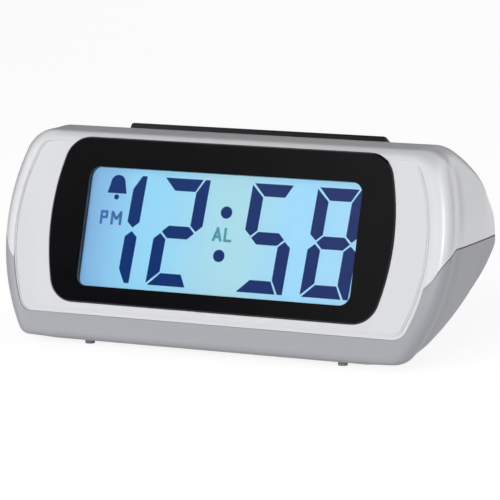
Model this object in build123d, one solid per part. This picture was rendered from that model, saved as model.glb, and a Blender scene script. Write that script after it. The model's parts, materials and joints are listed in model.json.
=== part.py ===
from build123d import *
import math
import os

# Digital alarm clock, in millimetres. X runs to the right seen from the front, Y runs to the back, Z is up.
# The front leans back. Depth is measured square to it, rise runs up along it, both from the line
# where the front's plane meets the table. The written pieces have their origin on the table instead,
# under the middle of the case.

# Case
lean_angle = 16.7
case_half_width = 75.45
case_depth = 43.0
case_wall = 2.0
foot_height = 1.4
roof_height = 65.0
roof_front_drop = 0.3
roof_run = 14.0
front_half_loss = 3.3
front_flare_run = 4.7
end_hollow = 0.4
end_hollow_depth = 8.6
end_hollow_run = 3.6
end_radius = 66.5
upper_corner_radius = 9.8
lower_corner_radius = 4.3
front_edge_radius = 1.6
top_edge_radius = 2.6
inner_edge_radius = 0.4
corner_keep = 0.6
rear_edge_radius = 3.0
crown_power = 1.66
crown_reach = 40.0
crown_rise = 32.05
base_draw_in = 22.75
chin_rise = 1.5
chin_run = 6.0
rear_end_slope = 1.58
rear_slope_growth = 1.18
widest_below_crown = 21.3
widest_height = 36.6
seam_gap = 0.12
seam_lift = 0.45
seam_groove = 0.9

# Seam between the two shells, seen from the side
seam_height = 35.5
seam_bend_back = 12.9
seam_front_height = 24.5
seam_front_back = 7.35
seam_bend_radius = 12.0
beyond = 5.0
overlap = 0.1

# Light front face inside its crease
crease_half_width = 70.3
crease_low = 10.3
crease_below_top = 2.55
crease_end_radius = 62.0
crease_corner_radius = 5.0
crease_depth = 0.5
crease_width = 1.8
crease_step = 0.5
crease_step_depth = 0.2

# Bezel and window
bezel_half_width = 58.0
bezel_low = 14.1
bezel_top_margin = 1.35
bezel_end_radius = 75.0
bezel_corner_radius = 8.5
bezel_proud = 0.4
bezel_edge = 0.35
bezel_fit = 0.15
window_half_width = 46.2
window_bottom_border = 5.3
window_top_border = 9.3
window_corner_radius = 3.5
lens_front = 0.8
lens_thickness = 0.8
lens_margin = 1.5
part_fit = 0.1

# Display stack
gasket_width = 1.0
gasket_thickness = 1.2
segment_thickness = 0.15
polariser_thickness = 0.2
glass_thickness = 2.2
glass_margin = 3.2
diffuser_thickness = 0.5
guide_thickness = 2.6
reflector_thickness = 0.3
holder_wall = 3.2
holder_flange = 1.3
holder_flange_thickness = 1.2
holder_top_drop = 1.0
board_bore_spare = 0.3
sheet_margin = 0.2
connector_inset = 2.0
ear_across = 63.5
ear_rises = (24.0, 55.0)
ear_half = 3.2
connector_height = 1.7
connector_spare = 0.4
led_thickness = 1.0
led_length = 6.0
led_width = 2.2

# Digits of the display
digit_pitch = 21.75
digit_gap_half = 15.2
digit_middle = 0.55
digit_lift = 0.15
digit_border = 1.9
digit_half_width = 7.95
digit_stroke = 4.1
digit_bar = 3.9
digit_gap = 0.8
digit_right_cut = 2.0
digit_slant = 3.4
colon_radius = 1.9
colon_spread = 6.75
colon_lift = 0.45
corner_share = 0.7
mark_height = 4.3
mark_stroke = 0.8
alarm_letter_half = 0.42
afternoon_letter_half = 0.5
alarm_mark = (0.6, 38.6)
afternoon_mark = (-38.6, 41.5)
bell_mark = (-37.3, 52.6)
bell_half_width = 3.3
bell_lift = 6.6
bell_dome_share = 0.75
clapper_drop = 1.2

# Boards and their parts
board_thickness = 1.6
chip_place = (12.0, 44.0)
crystal_place = (24.0, 36.0)
capacitor_place = (-20.0, 48.0)
resistor_first = 2.0
resistor_pitch = 5.0
resistor_count = 4
resistor_rise = 31.0
chip_radius = 6.0
chip_height = 1.8
crystal_radius = 1.5
crystal_length = 6.0
capacitor_radius = 3.0
capacitor_length = 5.0
resistor_size = 3.2
resistor_thickness = 1.1
chip_rounding = 0.6
crystal_lift = 0.05

# Rear keys
key_count = 4
key_pitch = 16.0
key_first = -26.0
key_rise = 38.0
key_radius = 3.6
key_proud = 1.5
key_flange = 1.0
key_flange_thickness = 1.2
key_travel = 0.8
key_fit = 0.1
key_stem_radius = 1.8
key_stem_length = 1.5
key_board_half_height = 6.5
key_board_margin = 12.0
key_post_spare = 7.5
key_board_edge = 2.0
key_edge = 0.6
switch_size = 6.0
switch_height = 3.6
plunger_radius = 1.7
plunger_fit = 0.08
plunger_spare = 0.2
plunger_hidden = 1.1

# Alarm slide switch
slide_place = -46.0
slide_travel = 3.0
slide_knob_length = 3.2
slide_knob_width = 2.8
slide_proud = 1.2
slide_fit = 0.2
slide_body_length = 10.0
slide_body_width = 5.4
slide_body_height = 3.8
slide_tongue_length = 5.0
slide_tongue_play = 0.1
slide_floor = 1.4
grip_groove_half = 0.2
grip_groove_depth = 0.3
grip_groove_reach = 0.65

# Buzzer
buzzer_place = 44.0
buzzer_rise = 36.0
buzzer_radius = 9.0
buzzer_height = 5.0
buzzer_wall = 0.8
buzzer_disc_thickness = 0.4
buzzer_ledge = 1.2
sound_hole_radius = 0.8
sound_hole_count = 6
sound_hole_ring = 3.4

# Snooze bar
bar_half_length = 44.0
bar_half_width = 5.0
bar_behind_edge = 22.5
bar_sink = 3.8
bar_tilt = 30.0
bar_proud = 2.9
bar_depth = 4.5
bar_edge = 0.9
bar_corner = 1.2
bar_flange = 1.2
bar_flange_thickness = 1.0
bar_fit = 0.25
bar_travel = 1.2
bar_stem_half = 2.0
snooze_board_drop = 14.0
snooze_board_half_length = 22.0
snooze_board_front = -5.0
snooze_board_rear = 10.6
snooze_post_across = 18.0
snooze_post_back = 8.4
post_radius = 1.8
post_sink = 2.6

# Batteries and their bay
cell_radius = 5.25
cell_body_length = 43.7
cell_nub_radius = 1.9
cell_nub_length = 0.8
cell_edge = 0.5
cell_gap = 0.5
bay_front = 17.7
bay_front_play = 1.05
bay_play = 0.35
bay_wall = 1.2
spring_length = 3.5
spring_radius = 3.0
spring_wire = 0.6
spring_turns = 3
contact_thickness = 0.4
contact_width = 8.0
door_thickness = 1.4
door_gap = 0.3
door_tab_width = 8.0
door_tab_reach = 0.7
door_neck = 1.0
door_tab_gap = 0.15
door_tab_thickness = 0.7
door_tab_place = 16.0
door_latch_width = 12.0
door_latch_height = 1.6
door_latch_thickness = 0.7
door_ledge = 1.2
door_ledge_gap = 0.05
door_ledge_inset = 3.0
door_ledge_thickness = 1.0

# Feet and screws
foot_radius = 1.5
foot_recess = 0.5
foot_across_front = 43.0
foot_back_front = 8.5
foot_across_rear = 38.0
foot_back_rear = 35.0
screw_radius = 1.3
screw_head_radius = 2.6
screw_head_height = 1.8
recess_half = 0.4
recess_reach = 0.7
recess_depth = 0.8
screw_fit = 0.05
boss_radius = 3.4
bore_wall = 1.2
rear_screw_across = 63.0
rear_screw_rise = 44.0
rear_boss_meet = 30.0
rear_screw_sink = 4.0
rear_screw_length = 18.0
base_screw_across = 55.0
base_screw_back = 36.0
base_screw_seat = 22.0
base_screw_length = 20.0
small_screw_radius = 0.9
small_screw_head = 1.8
small_screw_head_height = 1.0
small_screw_length = 5.0
small_screw_reach = 4.75
stake_radius = 1.1
stake_head = 1.9
stake_head_thickness = 0.8
stake_spare = 0.5

# Wires
wire_radius = 0.5
wire_spacing = 3.0
battery_wire_climb = 13.0
snooze_wire_across = -12.0
snooze_wire_drop = 17.55
buzzer_wire_drop = 3.0
buzzer_wire_inset = 2.0
ribbon_straight = 7.0
ribbon_width = 8.0
ribbon_thickness = 0.8
ribbon_across = -18.0
ribbon_start_rise = 33.0
ribbon_end_rise = 41.0
socket_length = 10.0
socket_width = 3.0
socket_height = 3.0
wire_bend = 2.5
buzzer_wire_bend = 2.0

lean_sin = math.sin(math.radians(lean_angle))
lean_cos = math.cos(math.radians(lean_angle))


def at_depth(depth):
    """Plane parallel to the front, with its own x across and y up along the front."""
    return Plane(
        origin=(0, depth * lean_cos, -depth * lean_sin), x_dir=(1, 0, 0), z_dir=(0, -lean_cos, lean_sin)
    )


def slab(shape, front, rear):
    """Solid between two depths, from a flat shape in the front's own coordinates."""
    return extrude(at_depth(rear) * shape, rear - front)


def peg(across, rise, front, rear, radius):
    return slab(Pos(across, rise) * Circle(radius), front, rear)


def tile(x0, x1, y0, y1):
    return Pos((x0 + x1) / 2, (y0 + y1) / 2) * Rectangle(x1 - x0, y1 - y0)


def block(x0, x1, y0, y1, z0, z1):
    return Pos((x0 + x1) / 2, (y0 + y1) / 2, (z0 + z1) / 2) * Box(x1 - x0, y1 - y0, z1 - z0)


def rise_of(height, depth):
    """Rise along the front of a point at this height and depth."""
    return (height + depth * lean_sin) / lean_cos


def back_of(rise, depth):
    return rise * lean_sin + depth * lean_cos


def height_of(rise, depth):
    return rise * lean_cos - depth * lean_sin


# Front face: its bezel, crease, window and figures hang on the roof's front edge
front_top = rise_of(roof_height - roof_front_drop, 0)
base_half_width = case_half_width - base_draw_in
snooze_wire_rise = front_top - snooze_wire_drop
bezel_high = front_top - bezel_top_margin
crease_high = front_top - crease_below_top
window_low = bezel_low + window_bottom_border
window_high = bezel_high - window_top_border
digit_rise = (window_low + window_high) / 2 + digit_lift
digit_half_height = (window_high - window_low) / 2 - digit_border
bar_height = roof_height - bar_sink
bar_back = roof_height * lean_sin / lean_cos + bar_behind_edge


def save(shape, name):
    """Write a piece with the origin under the middle of the case."""
    shift = Pos(0, -case_middle_back, 0)
    if shape.children:
        moved = group([shift * piece for piece in shape.children])
    else:
        moved = shift * shape
    export_step(moved, "parts/" + name + ".step")


def group(shapes):
    return Compound(children=list(shapes))


def bulged(half, low, high, ends, corner):
    """Flat shape with straight top and bottom, curved ends and rounded corners."""
    middle = (low + high) / 2
    centre = half - ends
    lift = (high - low) / 2
    across = centre + math.sqrt((ends - corner) ** 2 - (lift - corner) ** 2)
    turn = math.asin((lift - corner) / (ends - corner))
    halfway = (turn + math.pi / 2) / 2
    quarter = []
    for side in (1, -1):
        touch = (centre + ends * math.cos(turn), middle + side * ends * math.sin(turn))
        bend = (across + corner * math.cos(halfway), middle + side * (lift - corner + corner * math.sin(halfway)))
        quarter.append((touch, bend, (across, middle + side * lift)))
    (touch_high, bend_high, flat_high), (touch_low, bend_low, flat_low) = quarter

    def other(point):
        return (-point[0], point[1])

    edges = [
        Edge.make_line(other(flat_high), flat_high),
        Edge.make_three_point_arc(flat_high, bend_high, touch_high),
        Edge.make_three_point_arc(touch_high, (half, middle), touch_low),
        Edge.make_three_point_arc(touch_low, bend_low, flat_low),
        Edge.make_line(flat_low, other(flat_low)),
        Edge.make_three_point_arc(other(flat_low), other(bend_low), other(touch_low)),
        Edge.make_three_point_arc(other(touch_low), (-half, middle), other(touch_high)),
        Edge.make_three_point_arc(other(touch_high), other(bend_high), other(flat_high)),
    ]
    return make_face(edges)


def case_section(depth, inset, top_inset, wall):
    """Outline of the case at one depth, drawn in by inset and at the top by top_inset, as a wire on its plane."""
    inset = inset + wall
    half = case_half_width - inset
    if depth < front_flare_run:
        half -= front_half_loss * (1 - depth / front_flare_run) ** 2
    away = abs(depth - end_hollow_depth) / end_hollow_run
    if away < 1:
        half -= end_hollow * (1 + math.cos(math.pi * away)) / 2
    ends = end_radius - inset
    if depth < roof_run:
        roof = roof_height - roof_front_drop * (1 - depth / roof_run) ** 2
        high = rise_of(roof, depth)
        crown = rise_of(roof_height, roof_run)
        high = min(high, crown)
    else:
        share = (depth - roof_run) / crown_reach
        base = rise_of(roof_height, roof_run) - crown_rise
        high = base + crown_rise * (1 - share**crown_power) ** (1 / crown_power)
    middle = min(rise_of(widest_height, depth), high - widest_below_crown)
    high -= top_inset + wall
    floor = foot_height
    if depth < chin_run:
        floor += chin_rise * (1 - depth / chin_run) ** 2
    low = rise_of(floor, depth) + inset / lean_cos
    slope = math.atan(rear_end_slope * (depth / case_depth) ** rear_slope_growth)
    upper = upper_corner_radius - min(inset, upper_corner_radius * corner_keep)
    lower = lower_corner_radius - min(inset, lower_corner_radius * corner_keep)
    centre = half - ends
    base_edge = base_half_width - inset * math.tan(slope / 2)
    lift = high - middle - upper
    turn_high = math.asin(lift / (ends - upper))
    across_high = centre + (ends - upper) * math.cos(turn_high)
    reach = (base_edge - centre) * math.sin(slope) + (middle - low) * math.cos(slope)
    turn_low = math.asin((reach - lower) / (ends - lower)) - slope
    knee = (centre + (ends - lower) * math.cos(turn_low), middle - (ends - lower) * math.sin(turn_low))
    flat_high = (across_high, high)
    halfway = (turn_high + math.pi / 2) / 2
    bend_high = (across_high + upper * math.cos(halfway), high - upper + upper * math.sin(halfway))
    touch_high = (centre + ends * math.cos(turn_high), middle + ends * math.sin(turn_high))
    side = (turn_high - turn_low) / 2
    side_point = (centre + ends * math.cos(side), middle + ends * math.sin(side))
    touch_low = (centre + ends * math.cos(turn_low), middle - ends * math.sin(turn_low))
    end_turn = math.pi / 2 - slope
    halfway = (turn_low + end_turn) / 2
    bend_low = (knee[0] + lower * math.cos(halfway), knee[1] - lower * math.sin(halfway))
    slope_start = (knee[0] + lower * math.cos(end_turn), knee[1] - lower * math.sin(end_turn))
    base_point = (base_edge, low)

    def other(point):
        return (-point[0], point[1])

    edges = [
        Edge.make_line(other(flat_high), flat_high),
        Edge.make_three_point_arc(flat_high, bend_high, touch_high),
        Edge.make_three_point_arc(touch_high, side_point, touch_low),
        Edge.make_three_point_arc(touch_low, bend_low, slope_start),
        Edge.make_line(slope_start, base_point),
        Edge.make_line(base_point, other(base_point)),
        Edge.make_line(other(base_point), other(slope_start)),
        Edge.make_three_point_arc(other(slope_start), other(bend_low), other(touch_low)),
        Edge.make_three_point_arc(other(touch_low), other(side_point), other(touch_high)),
        Edge.make_three_point_arc(other(touch_high), other(bend_high), other(flat_high)),
    ]
    return at_depth(depth) * Wire(edges)


rounding_turns = [math.radians(turn) for turn in (0, 45, 90)]
station_spacing = 0.5
hollow_shares = (-1, -0.5, 0, 0.5, 1)
end_depths = (2.6, 3.8) + tuple(end_hollow_depth + share * end_hollow_run for share in hollow_shares)
middle_shares = (0.08, 0.19, 0.32, 0.46, 0.6, 0.75, 0.89)


def case_form(wall):
    """Smooth form of the case, drawn in by the wall."""
    front = wall
    rear = case_depth - wall
    front_round = max(front_edge_radius - wall, inner_edge_radius)
    top_round = max(top_edge_radius - wall, inner_edge_radius)
    rear_round = rear_edge_radius - wall
    stations = []

    def top_inset(ahead):
        left = max(top_round - ahead, 0)
        return top_round - math.sqrt(top_round**2 - left**2)

    for turn in rounding_turns:
        ahead = front_round * (1 - math.cos(turn))
        stations.append((front + ahead, front_round * (1 - math.sin(turn)), top_inset(ahead)))
    middle_start = end_depths[-1]
    middle_end = rear - rear_round
    for depth in end_depths:
        if depth > front + front_round + station_spacing:
            stations.append((depth, 0, top_inset(depth - front)))
    for share in middle_shares:
        stations.append((middle_start + share * (middle_end - middle_start), 0, 0))
    for turn in rounding_turns:
        inset = rear_round * (1 - math.cos(turn))
        stations.append((middle_end + rear_round * math.sin(turn), inset, inset))
    return Solid.make_loft([case_section(*station, wall) for station in stations])


def bezel_outline(grow):
    return bulged(
        bezel_half_width + grow,
        bezel_low - grow,
        bezel_high + grow,
        bezel_end_radius + grow,
        bezel_corner_radius + grow,
    )


def crease_outline(grow):
    return bulged(
        crease_half_width + grow,
        crease_low - grow,
        crease_high + grow,
        crease_end_radius + grow,
        crease_corner_radius + grow,
    )


def window_outline(grow):
    middle = (window_low + window_high) / 2
    size = (2 * (window_half_width + grow), window_high - window_low + 2 * grow)
    return Pos(0, middle) * RectangleRounded(*size, window_corner_radius + min(grow, 0))


def window_box(grow):
    return tile(
        -window_half_width - grow, window_half_width + grow, window_low - grow, window_high + grow
    )


def upper_region(gap, lift):
    """Everything above the seam and its open line, with the front face inside its crease."""
    slope = (seam_height - seam_front_height) / (seam_bend_back - seam_front_back)
    front = -2 * beyond
    rear = 2 * case_depth
    top = roof_height + beyond
    start = seam_front_height + slope * (front - seam_front_back)
    corners = [
        (rear, seam_height + lift),
        (seam_bend_back, seam_height + lift),
        (front, start + lift),
        (front, top),
        (rear, top),
    ]
    face = make_face(Polyline(*corners, close=True))
    bend = face.vertices().sort_by_distance(Vector(seam_bend_back, seam_height + lift, 0))[0]
    face = fillet(bend, seam_bend_radius)
    prism = extrude(Plane.YZ * face, 2 * case_half_width, both=True)
    return prism + slab(crease_outline(-gap), front, case_wall)


# Rear keys and boards: depths from the rear wall inwards
rear_inside = case_depth - case_wall
key_flange_rear = rear_inside - key_fit
key_flange_front = key_flange_rear - key_flange_thickness
key_stem_end = key_flange_front - key_stem_length
switch_face = key_stem_end - key_travel - plunger_spare
key_board_rear = switch_face - switch_height
key_board_depth = key_board_rear - board_thickness
key_places = [key_first + key_pitch * n for n in range(key_count)]
key_names = ["time", "alarm", "hour", "minute"]
key_board_left = slide_place - slide_body_length / 2 - key_board_edge
key_board_right = key_places[-1] + key_board_margin
key_post_places = (key_first - key_post_spare, key_places[-1] + key_post_spare)

# Display stack: depths from the front inwards
gasket_front = lens_front + lens_thickness
stack_front = gasket_front + gasket_thickness
glass_front = stack_front + polariser_thickness
glass_rear = glass_front + glass_thickness
rear_polariser_rear = glass_rear + polariser_thickness
diffuser_rear = rear_polariser_rear + diffuser_thickness
guide_rear = diffuser_rear + guide_thickness
reflector_rear = guide_rear + reflector_thickness
board_rear = reflector_rear + board_thickness
stack_low = window_low - glass_margin
guide_low = stack_low + connector_height + 2 * connector_spare
holder_grow = glass_margin + part_fit + holder_wall
board_screw_across = window_half_width + glass_margin + part_fit + holder_wall / 2
board_screw_low = stack_low - part_fit - holder_wall / 2
board_screw_high = window_high + glass_margin + part_fit + holder_wall / 2
board_screw_places = [
    (side * board_screw_across, rise) for side in (-1, 1) for rise in (board_screw_low, board_screw_high)
]

# Snooze bar: its own tilted plane, with z out of the roof
bar_plane = Plane(
    origin=(0, bar_back, bar_height),
    x_dir=(1, 0, 0),
    z_dir=(0, math.sin(math.radians(bar_tilt)), math.cos(math.radians(bar_tilt))),
)
bar_stem_drop = snooze_board_drop - switch_height - bar_travel - plunger_spare

# Battery bay
cell_length = cell_body_length + cell_nub_length
bay_half_length = (cell_length + spring_length + 2 * contact_thickness) / 2
bay_rear = bay_front + bay_front_play + bay_play + 4 * cell_radius + cell_gap
cell_height = foot_height + door_thickness + bay_play + cell_radius
bay_top = cell_height + cell_radius + bay_play
cell_backs = (bay_front + bay_front_play + cell_radius, bay_rear - bay_play - cell_radius)
door_front = bay_front + door_gap
door_rear = bay_rear - door_gap
door_top = foot_height + door_thickness
door_hinge_back = door_front + door_thickness / 2
door_hinge_height = foot_height + door_thickness / 2
tab_low = foot_height + case_wall + door_tab_gap
tab_high = tab_low + door_tab_thickness
tab_front = door_front - door_gap - door_tab_reach
tab_swing = math.hypot(tab_high - door_hinge_height, door_hinge_back - tab_front)

# Fixings
rear_screw_seat = case_depth - rear_screw_sink
rear_screws = [(side * rear_screw_across, rear_screw_rise) for side in (-1, 1)]
base_screws = [(side * base_screw_across, base_screw_back) for side in (-1, 1)]
stakes = [(side * ear_across, rise) for side in (-1, 1) for rise in ear_rises]
counterbore = screw_head_radius + 3 * part_fit
snooze_posts = [(side * snooze_post_across, snooze_post_back) for side in (-1, 1)]


def upright(x, y, z0, z1, radius):
    return Pos(x, y, (z0 + z1) / 2) * Cylinder(radius, z1 - z0)


def on_bar(shape, low, high):
    """Solid between two heights above the snooze bar's plane."""
    return extrude(bar_plane * (Pos(0, 0, low) * shape), high - low)


def bar_outline(grow):
    return RectangleRounded(2 * (bar_half_length + grow), 2 * (bar_half_width + grow), bar_corner + grow)


def joined(shapes):
    whole = shapes[0]
    for shape in shapes[1:]:
        whole = whole + shape
    return whole


outer_form = case_form(0.0)
inner_form = case_form(case_wall)
wall_form = outer_form - inner_form
case_middle_back = outer_form.bounding_box().center().Y


def make_top_shell():
    shell = outer_form & upper_region(seam_gap, seam_lift)
    shell += case_form(seam_groove) & upper_region(seam_gap, seam_gap)
    shell -= inner_form
    posts = []
    for across, rise in rear_screws:
        posts.append(peg(across, rise, case_wall / 2, rear_boss_meet - seam_gap, boss_radius))
    for across, rise in stakes:
        posts.append(peg(across, rise, case_wall / 2, case_wall + holder_flange_thickness + stake_spare, stake_radius))
        head = case_wall + holder_flange_thickness
        posts.append(peg(across, rise, head, head + stake_head_thickness, stake_head))
    for x, y in base_screws:
        posts.append(upright(x, y, seam_height + seam_gap, roof_height, boss_radius) & outer_form)
    for x, y in snooze_posts:
        posts.append(on_bar(Pos(x, y) * Circle(post_radius), -snooze_board_drop, -post_sink))
    shell = shell + joined(posts)
    shell -= slab(bezel_outline(bezel_fit), -beyond, case_wall + 1.0)
    shell -= slab(crease_outline(0) - crease_outline(-crease_width), -1, crease_step_depth)
    inner_groove = crease_outline(-crease_step) - crease_outline(crease_step - crease_width)
    shell -= slab(inner_groove, -1, crease_depth)
    shell -= on_bar(bar_outline(bar_fit), -bar_depth - 2, bar_proud + 4)
    for across, rise in rear_screws:
        shell -= peg(
            across, rise, rear_screw_seat - rear_screw_length - 1, rear_screw_seat, screw_radius + screw_fit
        )
    for x, y in base_screws:
        shell -= upright(
            x, y, base_screw_seat, base_screw_seat + base_screw_length + 1, screw_radius + screw_fit
        )
    for x, y in snooze_posts:
        bore = Circle(small_screw_radius + screw_fit)
        shell -= on_bar(Pos(x, y) * bore, -snooze_board_drop - 1, -snooze_board_drop + small_screw_length)
    return shell


def make_bottom_shell():
    shell = wall_form - upper_region(0, 0)
    bay_outer = block(
        -bay_half_length - bay_wall,
        bay_half_length + bay_wall,
        bay_front - bay_wall,
        bay_rear + bay_wall,
        foot_height + case_wall / 2,
        bay_top + bay_wall,
    )
    extra = [bay_outer]
    bore_outer = counterbore + bore_wall
    for across, rise in rear_screws:
        extra.append(peg(across, rise, rear_boss_meet, case_depth, bore_outer) & outer_form)
    for x, y in base_screws:
        extra.append(upright(x, y, 0, seam_height, bore_outer) & outer_form)
    for across in key_post_places:
        extra.append(peg(across, key_rise, key_board_rear, rear_inside + case_wall / 2, post_radius))
    shell = shell + joined(extra)
    shell -= block(-bay_half_length, bay_half_length, bay_front, bay_rear, -1, bay_top)
    ledge_low = door_top + door_ledge_gap
    ledge_high = ledge_low + door_ledge_thickness
    for side in (-1, 1):
        edge = side * (bay_half_length + bay_wall / 2)
        inner = side * (bay_half_length - door_ledge + overlap)
        span = (min(edge, inner), max(edge, inner))
        ledge_rear = bay_rear - door_ledge_inset
        shell += block(*span, bay_front + door_ledge_inset, ledge_rear, ledge_low, ledge_high)
        place = side * door_tab_place
        half = door_tab_width / 2 + door_gap
        slot_top = door_hinge_height + tab_swing + door_gap
        slot_low = foot_height + case_wall
        shell -= block(place - half, place + half, bay_front - bay_wall - 1, bay_front + 1, slot_low, slot_top)
    for across in key_places:
        shell -= peg(across, key_rise, rear_inside - 1, case_depth + 2, key_radius + key_fit)
    slot_half = (slide_knob_length + slide_travel) / 2 + slide_fit
    slot_lift = slide_knob_width / 2 + slide_fit
    slot = tile(slide_place - slot_half, slide_place + slot_half, key_rise - slot_lift, key_rise + slot_lift)
    shell -= slab(slot, rear_inside - 1, case_depth + 2)
    for n in range(sound_hole_count):
        turn = 2 * math.pi * n / sound_hole_count
        across = buzzer_place + sound_hole_ring * math.cos(turn)
        rise = buzzer_rise + sound_hole_ring * math.sin(turn)
        shell -= peg(across, rise, rear_inside - 1, case_depth + 2, sound_hole_radius)
    shell -= peg(buzzer_place, buzzer_rise, rear_inside - 1, case_depth + 2, sound_hole_radius)
    for across, rise in rear_screws:
        shell -= peg(across, rise, rear_screw_seat, case_depth + 2, counterbore)
        shell -= peg(across, rise, rear_boss_meet - 1, rear_screw_seat, screw_radius + screw_fit)
    for x, y in base_screws:
        shell -= upright(x, y, -beyond, base_screw_seat, counterbore)
        shell -= upright(x, y, base_screw_seat - 1, seam_height + 1, screw_radius + screw_fit)
    for across in key_post_places:
        shell -= peg(
            across,
            key_rise,
            key_board_depth,
            key_board_depth + small_screw_length,
            small_screw_radius + screw_fit,
        )
    for x, y in foot_places:
        shell -= upright(x, y, -1, foot_height + foot_recess, foot_radius + part_fit)
    for across in wire_holes:
        shell -= upright(across[0], across[1], bay_top - 1, bay_top + bay_wall + 1, wire_radius + 2 * part_fit)
    return shell


foot_places = [
    (side * x, y)
    for x, y in ((foot_across_front, foot_back_front), (foot_across_rear, foot_back_rear))
    for side in (-1, 1)
]
wire_across = bay_half_length - wire_radius - part_fit
wire_holes = [(side * wire_across, cell_backs[0]) for side in (-1, 1)]


def make_bezel():
    body = slab(bezel_outline(0), -bezel_proud, case_wall)
    body = chamfer(body.faces().sort_by(Axis.Y)[0].edges(), bezel_edge)
    body -= slab(window_outline(0), -beyond, case_wall + 1)
    return body - slab(window_outline(lens_margin + part_fit), lens_front, case_wall + 1)


def make_holder():
    low = board_screw_low - holder_wall / 2 - holder_flange
    flange = bulged(
        bezel_half_width + holder_flange, low, bezel_high - holder_top_drop, bezel_end_radius, bezel_corner_radius
    )
    ears = joined(
        [tile(side * ear_across - ear_half, side * ear_across + ear_half, rise - ear_half, rise + ear_half)
         for side in (-1, 1) for rise in ear_rises]
    )
    arms = joined(
        [tile(-ear_across, ear_across, rise - ear_half, rise + ear_half) for rise in ear_rises]
    )
    body = slab(flange + ears + arms, case_wall, case_wall + holder_flange_thickness)
    body += slab(window_box(holder_grow), case_wall + holder_flange_thickness / 2, reflector_rear)
    body -= slab(window_box(glass_margin + part_fit), stack_front, reflector_rear + 1)
    body -= slab(window_outline(lens_margin), case_wall - 1, stack_front + 1)
    for across, rise in stakes:
        body -= peg(across, rise, case_wall - 1, case_wall + holder_flange_thickness + 1, stake_radius + part_fit)
    for across, rise in board_screw_places:
        body -= peg(
            across,
            rise,
            board_rear - small_screw_length - board_bore_spare,
            reflector_rear + 1,
            small_screw_radius + screw_fit,
        )
    return body


def stack_sheet(front, rear, low, half):
    return slab(tile(-half, half, low, window_high + glass_margin), front, rear)


def segment(points):
    return make_face(Polyline(*points, close=True))


def lean(point):
    """Slant a point of the display about its middle height."""
    x, y = point
    return (x + (y - digit_rise) * math.tan(math.radians(digit_slant)), y)


def digit_segments(centre, lit):
    """Flat bars of one seven segment digit; lit names the bars from a to g."""
    wide = digit_half_width
    tall = digit_half_height
    inside = wide - digit_stroke
    level = tall - digit_bar
    middle = digit_bar / 2
    gap = digit_gap / 2
    corner = digit_gap * corner_share
    bars = {}
    for name, side in (("a", 1), ("d", -1)):
        bars[name] = [
            (-wide + corner, side * tall),
            (wide - digit_right_cut - gap, side * tall),
            (inside - gap, side * level),
            (-inside + gap, side * level),
        ]
    tip = wide - digit_stroke / 2
    bars["g"] = [
        (-tip + gap, 0),
        (-inside + gap, middle),
        (inside - gap, middle),
        (tip - gap, 0),
        (inside - gap, -middle),
        (-inside + gap, -middle),
    ]
    for right, up, name in ((1, 1, "b"), (1, -1, "c"), (-1, 1, "f"), (-1, -1, "e")):
        if right > 0:
            ends = [(wide - digit_right_cut + gap, up * tall), (wide, up * tall)]
        else:
            ends = [(-wide, up * (tall - corner))]
        bars[name] = [
            (right * inside, up * (level - gap)),
            *ends,
            (right * wide, up * (middle + gap)),
            (right * tip, up * corner),
            (right * inside, up * (middle + gap)),
        ]
    return [segment([lean((centre + x, digit_rise + y)) for x, y in bars[name]]) for name in lit]


def stroke(start, end, width):
    """Straight bar of a small mark, from its middle line."""
    run = (end[0] - start[0], end[1] - start[1])
    length = math.hypot(*run)
    side = (-run[1] / length * width / 2, run[0] / length * width / 2)
    corners = [
        (start[0] + side[0], start[1] + side[1]),
        (end[0] + side[0], end[1] + side[1]),
        (end[0] - side[0], end[1] - side[1]),
        (start[0] - side[0], start[1] - side[1]),
    ]
    return segment(corners)


def letter(strokes, place):
    """Small letter from strokes on a grid one unit high."""
    x, y = place
    bars = []
    for start, end in strokes:
        a = (x + start[0] * mark_height, y + start[1] * mark_height)
        b = (x + end[0] * mark_height, y + end[1] * mark_height)
        bars.append(stroke(a, b, mark_stroke))
    return joined(bars)


letter_strokes = {
    "A": [((-0.3, -0.5), (0.02, 0.5)), ((0.3, -0.5), (-0.02, 0.5)), ((-0.24, -0.18), (0.24, -0.18))],
    "L": [((-0.22, -0.5), (-0.22, 0.5)), ((-0.3, -0.42), (0.3, -0.42))],
    "P": [
        ((-0.22, -0.5), (-0.22, 0.5)),
        ((-0.3, 0.42), (0.25, 0.42)),
        ((0.2, 0.5), (0.2, -0.05)),
        ((-0.3, 0.02), (0.25, 0.02)),
    ],
    "M": [
        ((-0.34, -0.5), (-0.34, 0.5)),
        ((0.34, -0.5), (0.34, 0.5)),
        ((-0.34, 0.45), (0, -0.1)),
        ((0.34, 0.45), (0, -0.1)),
    ],
}


def make_segments():
    centres = [
        digit_middle - digit_gap_half - digit_pitch,
        digit_middle - digit_gap_half,
        digit_middle + digit_gap_half,
        digit_middle + digit_gap_half + digit_pitch,
    ]
    flat = []
    for centre, lit in zip(centres, ("bc", "abged", "afgcd", "abcdefg")):
        flat += digit_segments(centre, lit)
    for side in (-1, 1):
        x, y = lean((digit_middle, digit_rise + colon_lift + side * colon_spread))
        flat.append(Pos(x, y) * Circle(colon_radius))
    for name, side in (("A", -1), ("L", 1)):
        x, y = alarm_mark
        flat.append(letter(letter_strokes[name], (x + side * mark_height * alarm_letter_half, y)))
    for name, side in (("P", -1), ("M", 1)):
        x, y = afternoon_mark
        flat.append(letter(letter_strokes[name], (x + side * mark_height * afternoon_letter_half, y)))
    x, y = bell_mark
    dome_radius = bell_half_width * bell_dome_share
    dome = Pos(x, y) * Circle(dome_radius)
    skirt = segment(
        [
            (x - dome_radius, y),
            (x + dome_radius, y),
            (x + bell_half_width, y - bell_lift / 2),
            (x - bell_half_width, y - bell_lift / 2),
        ]
    )
    flat.append(dome + skirt)
    flat.append(Pos(x, y - bell_lift / 2 - clapper_drop) * Circle(mark_stroke))
    return group([slab(face, stack_front - segment_thickness, stack_front) for face in flat])


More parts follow.
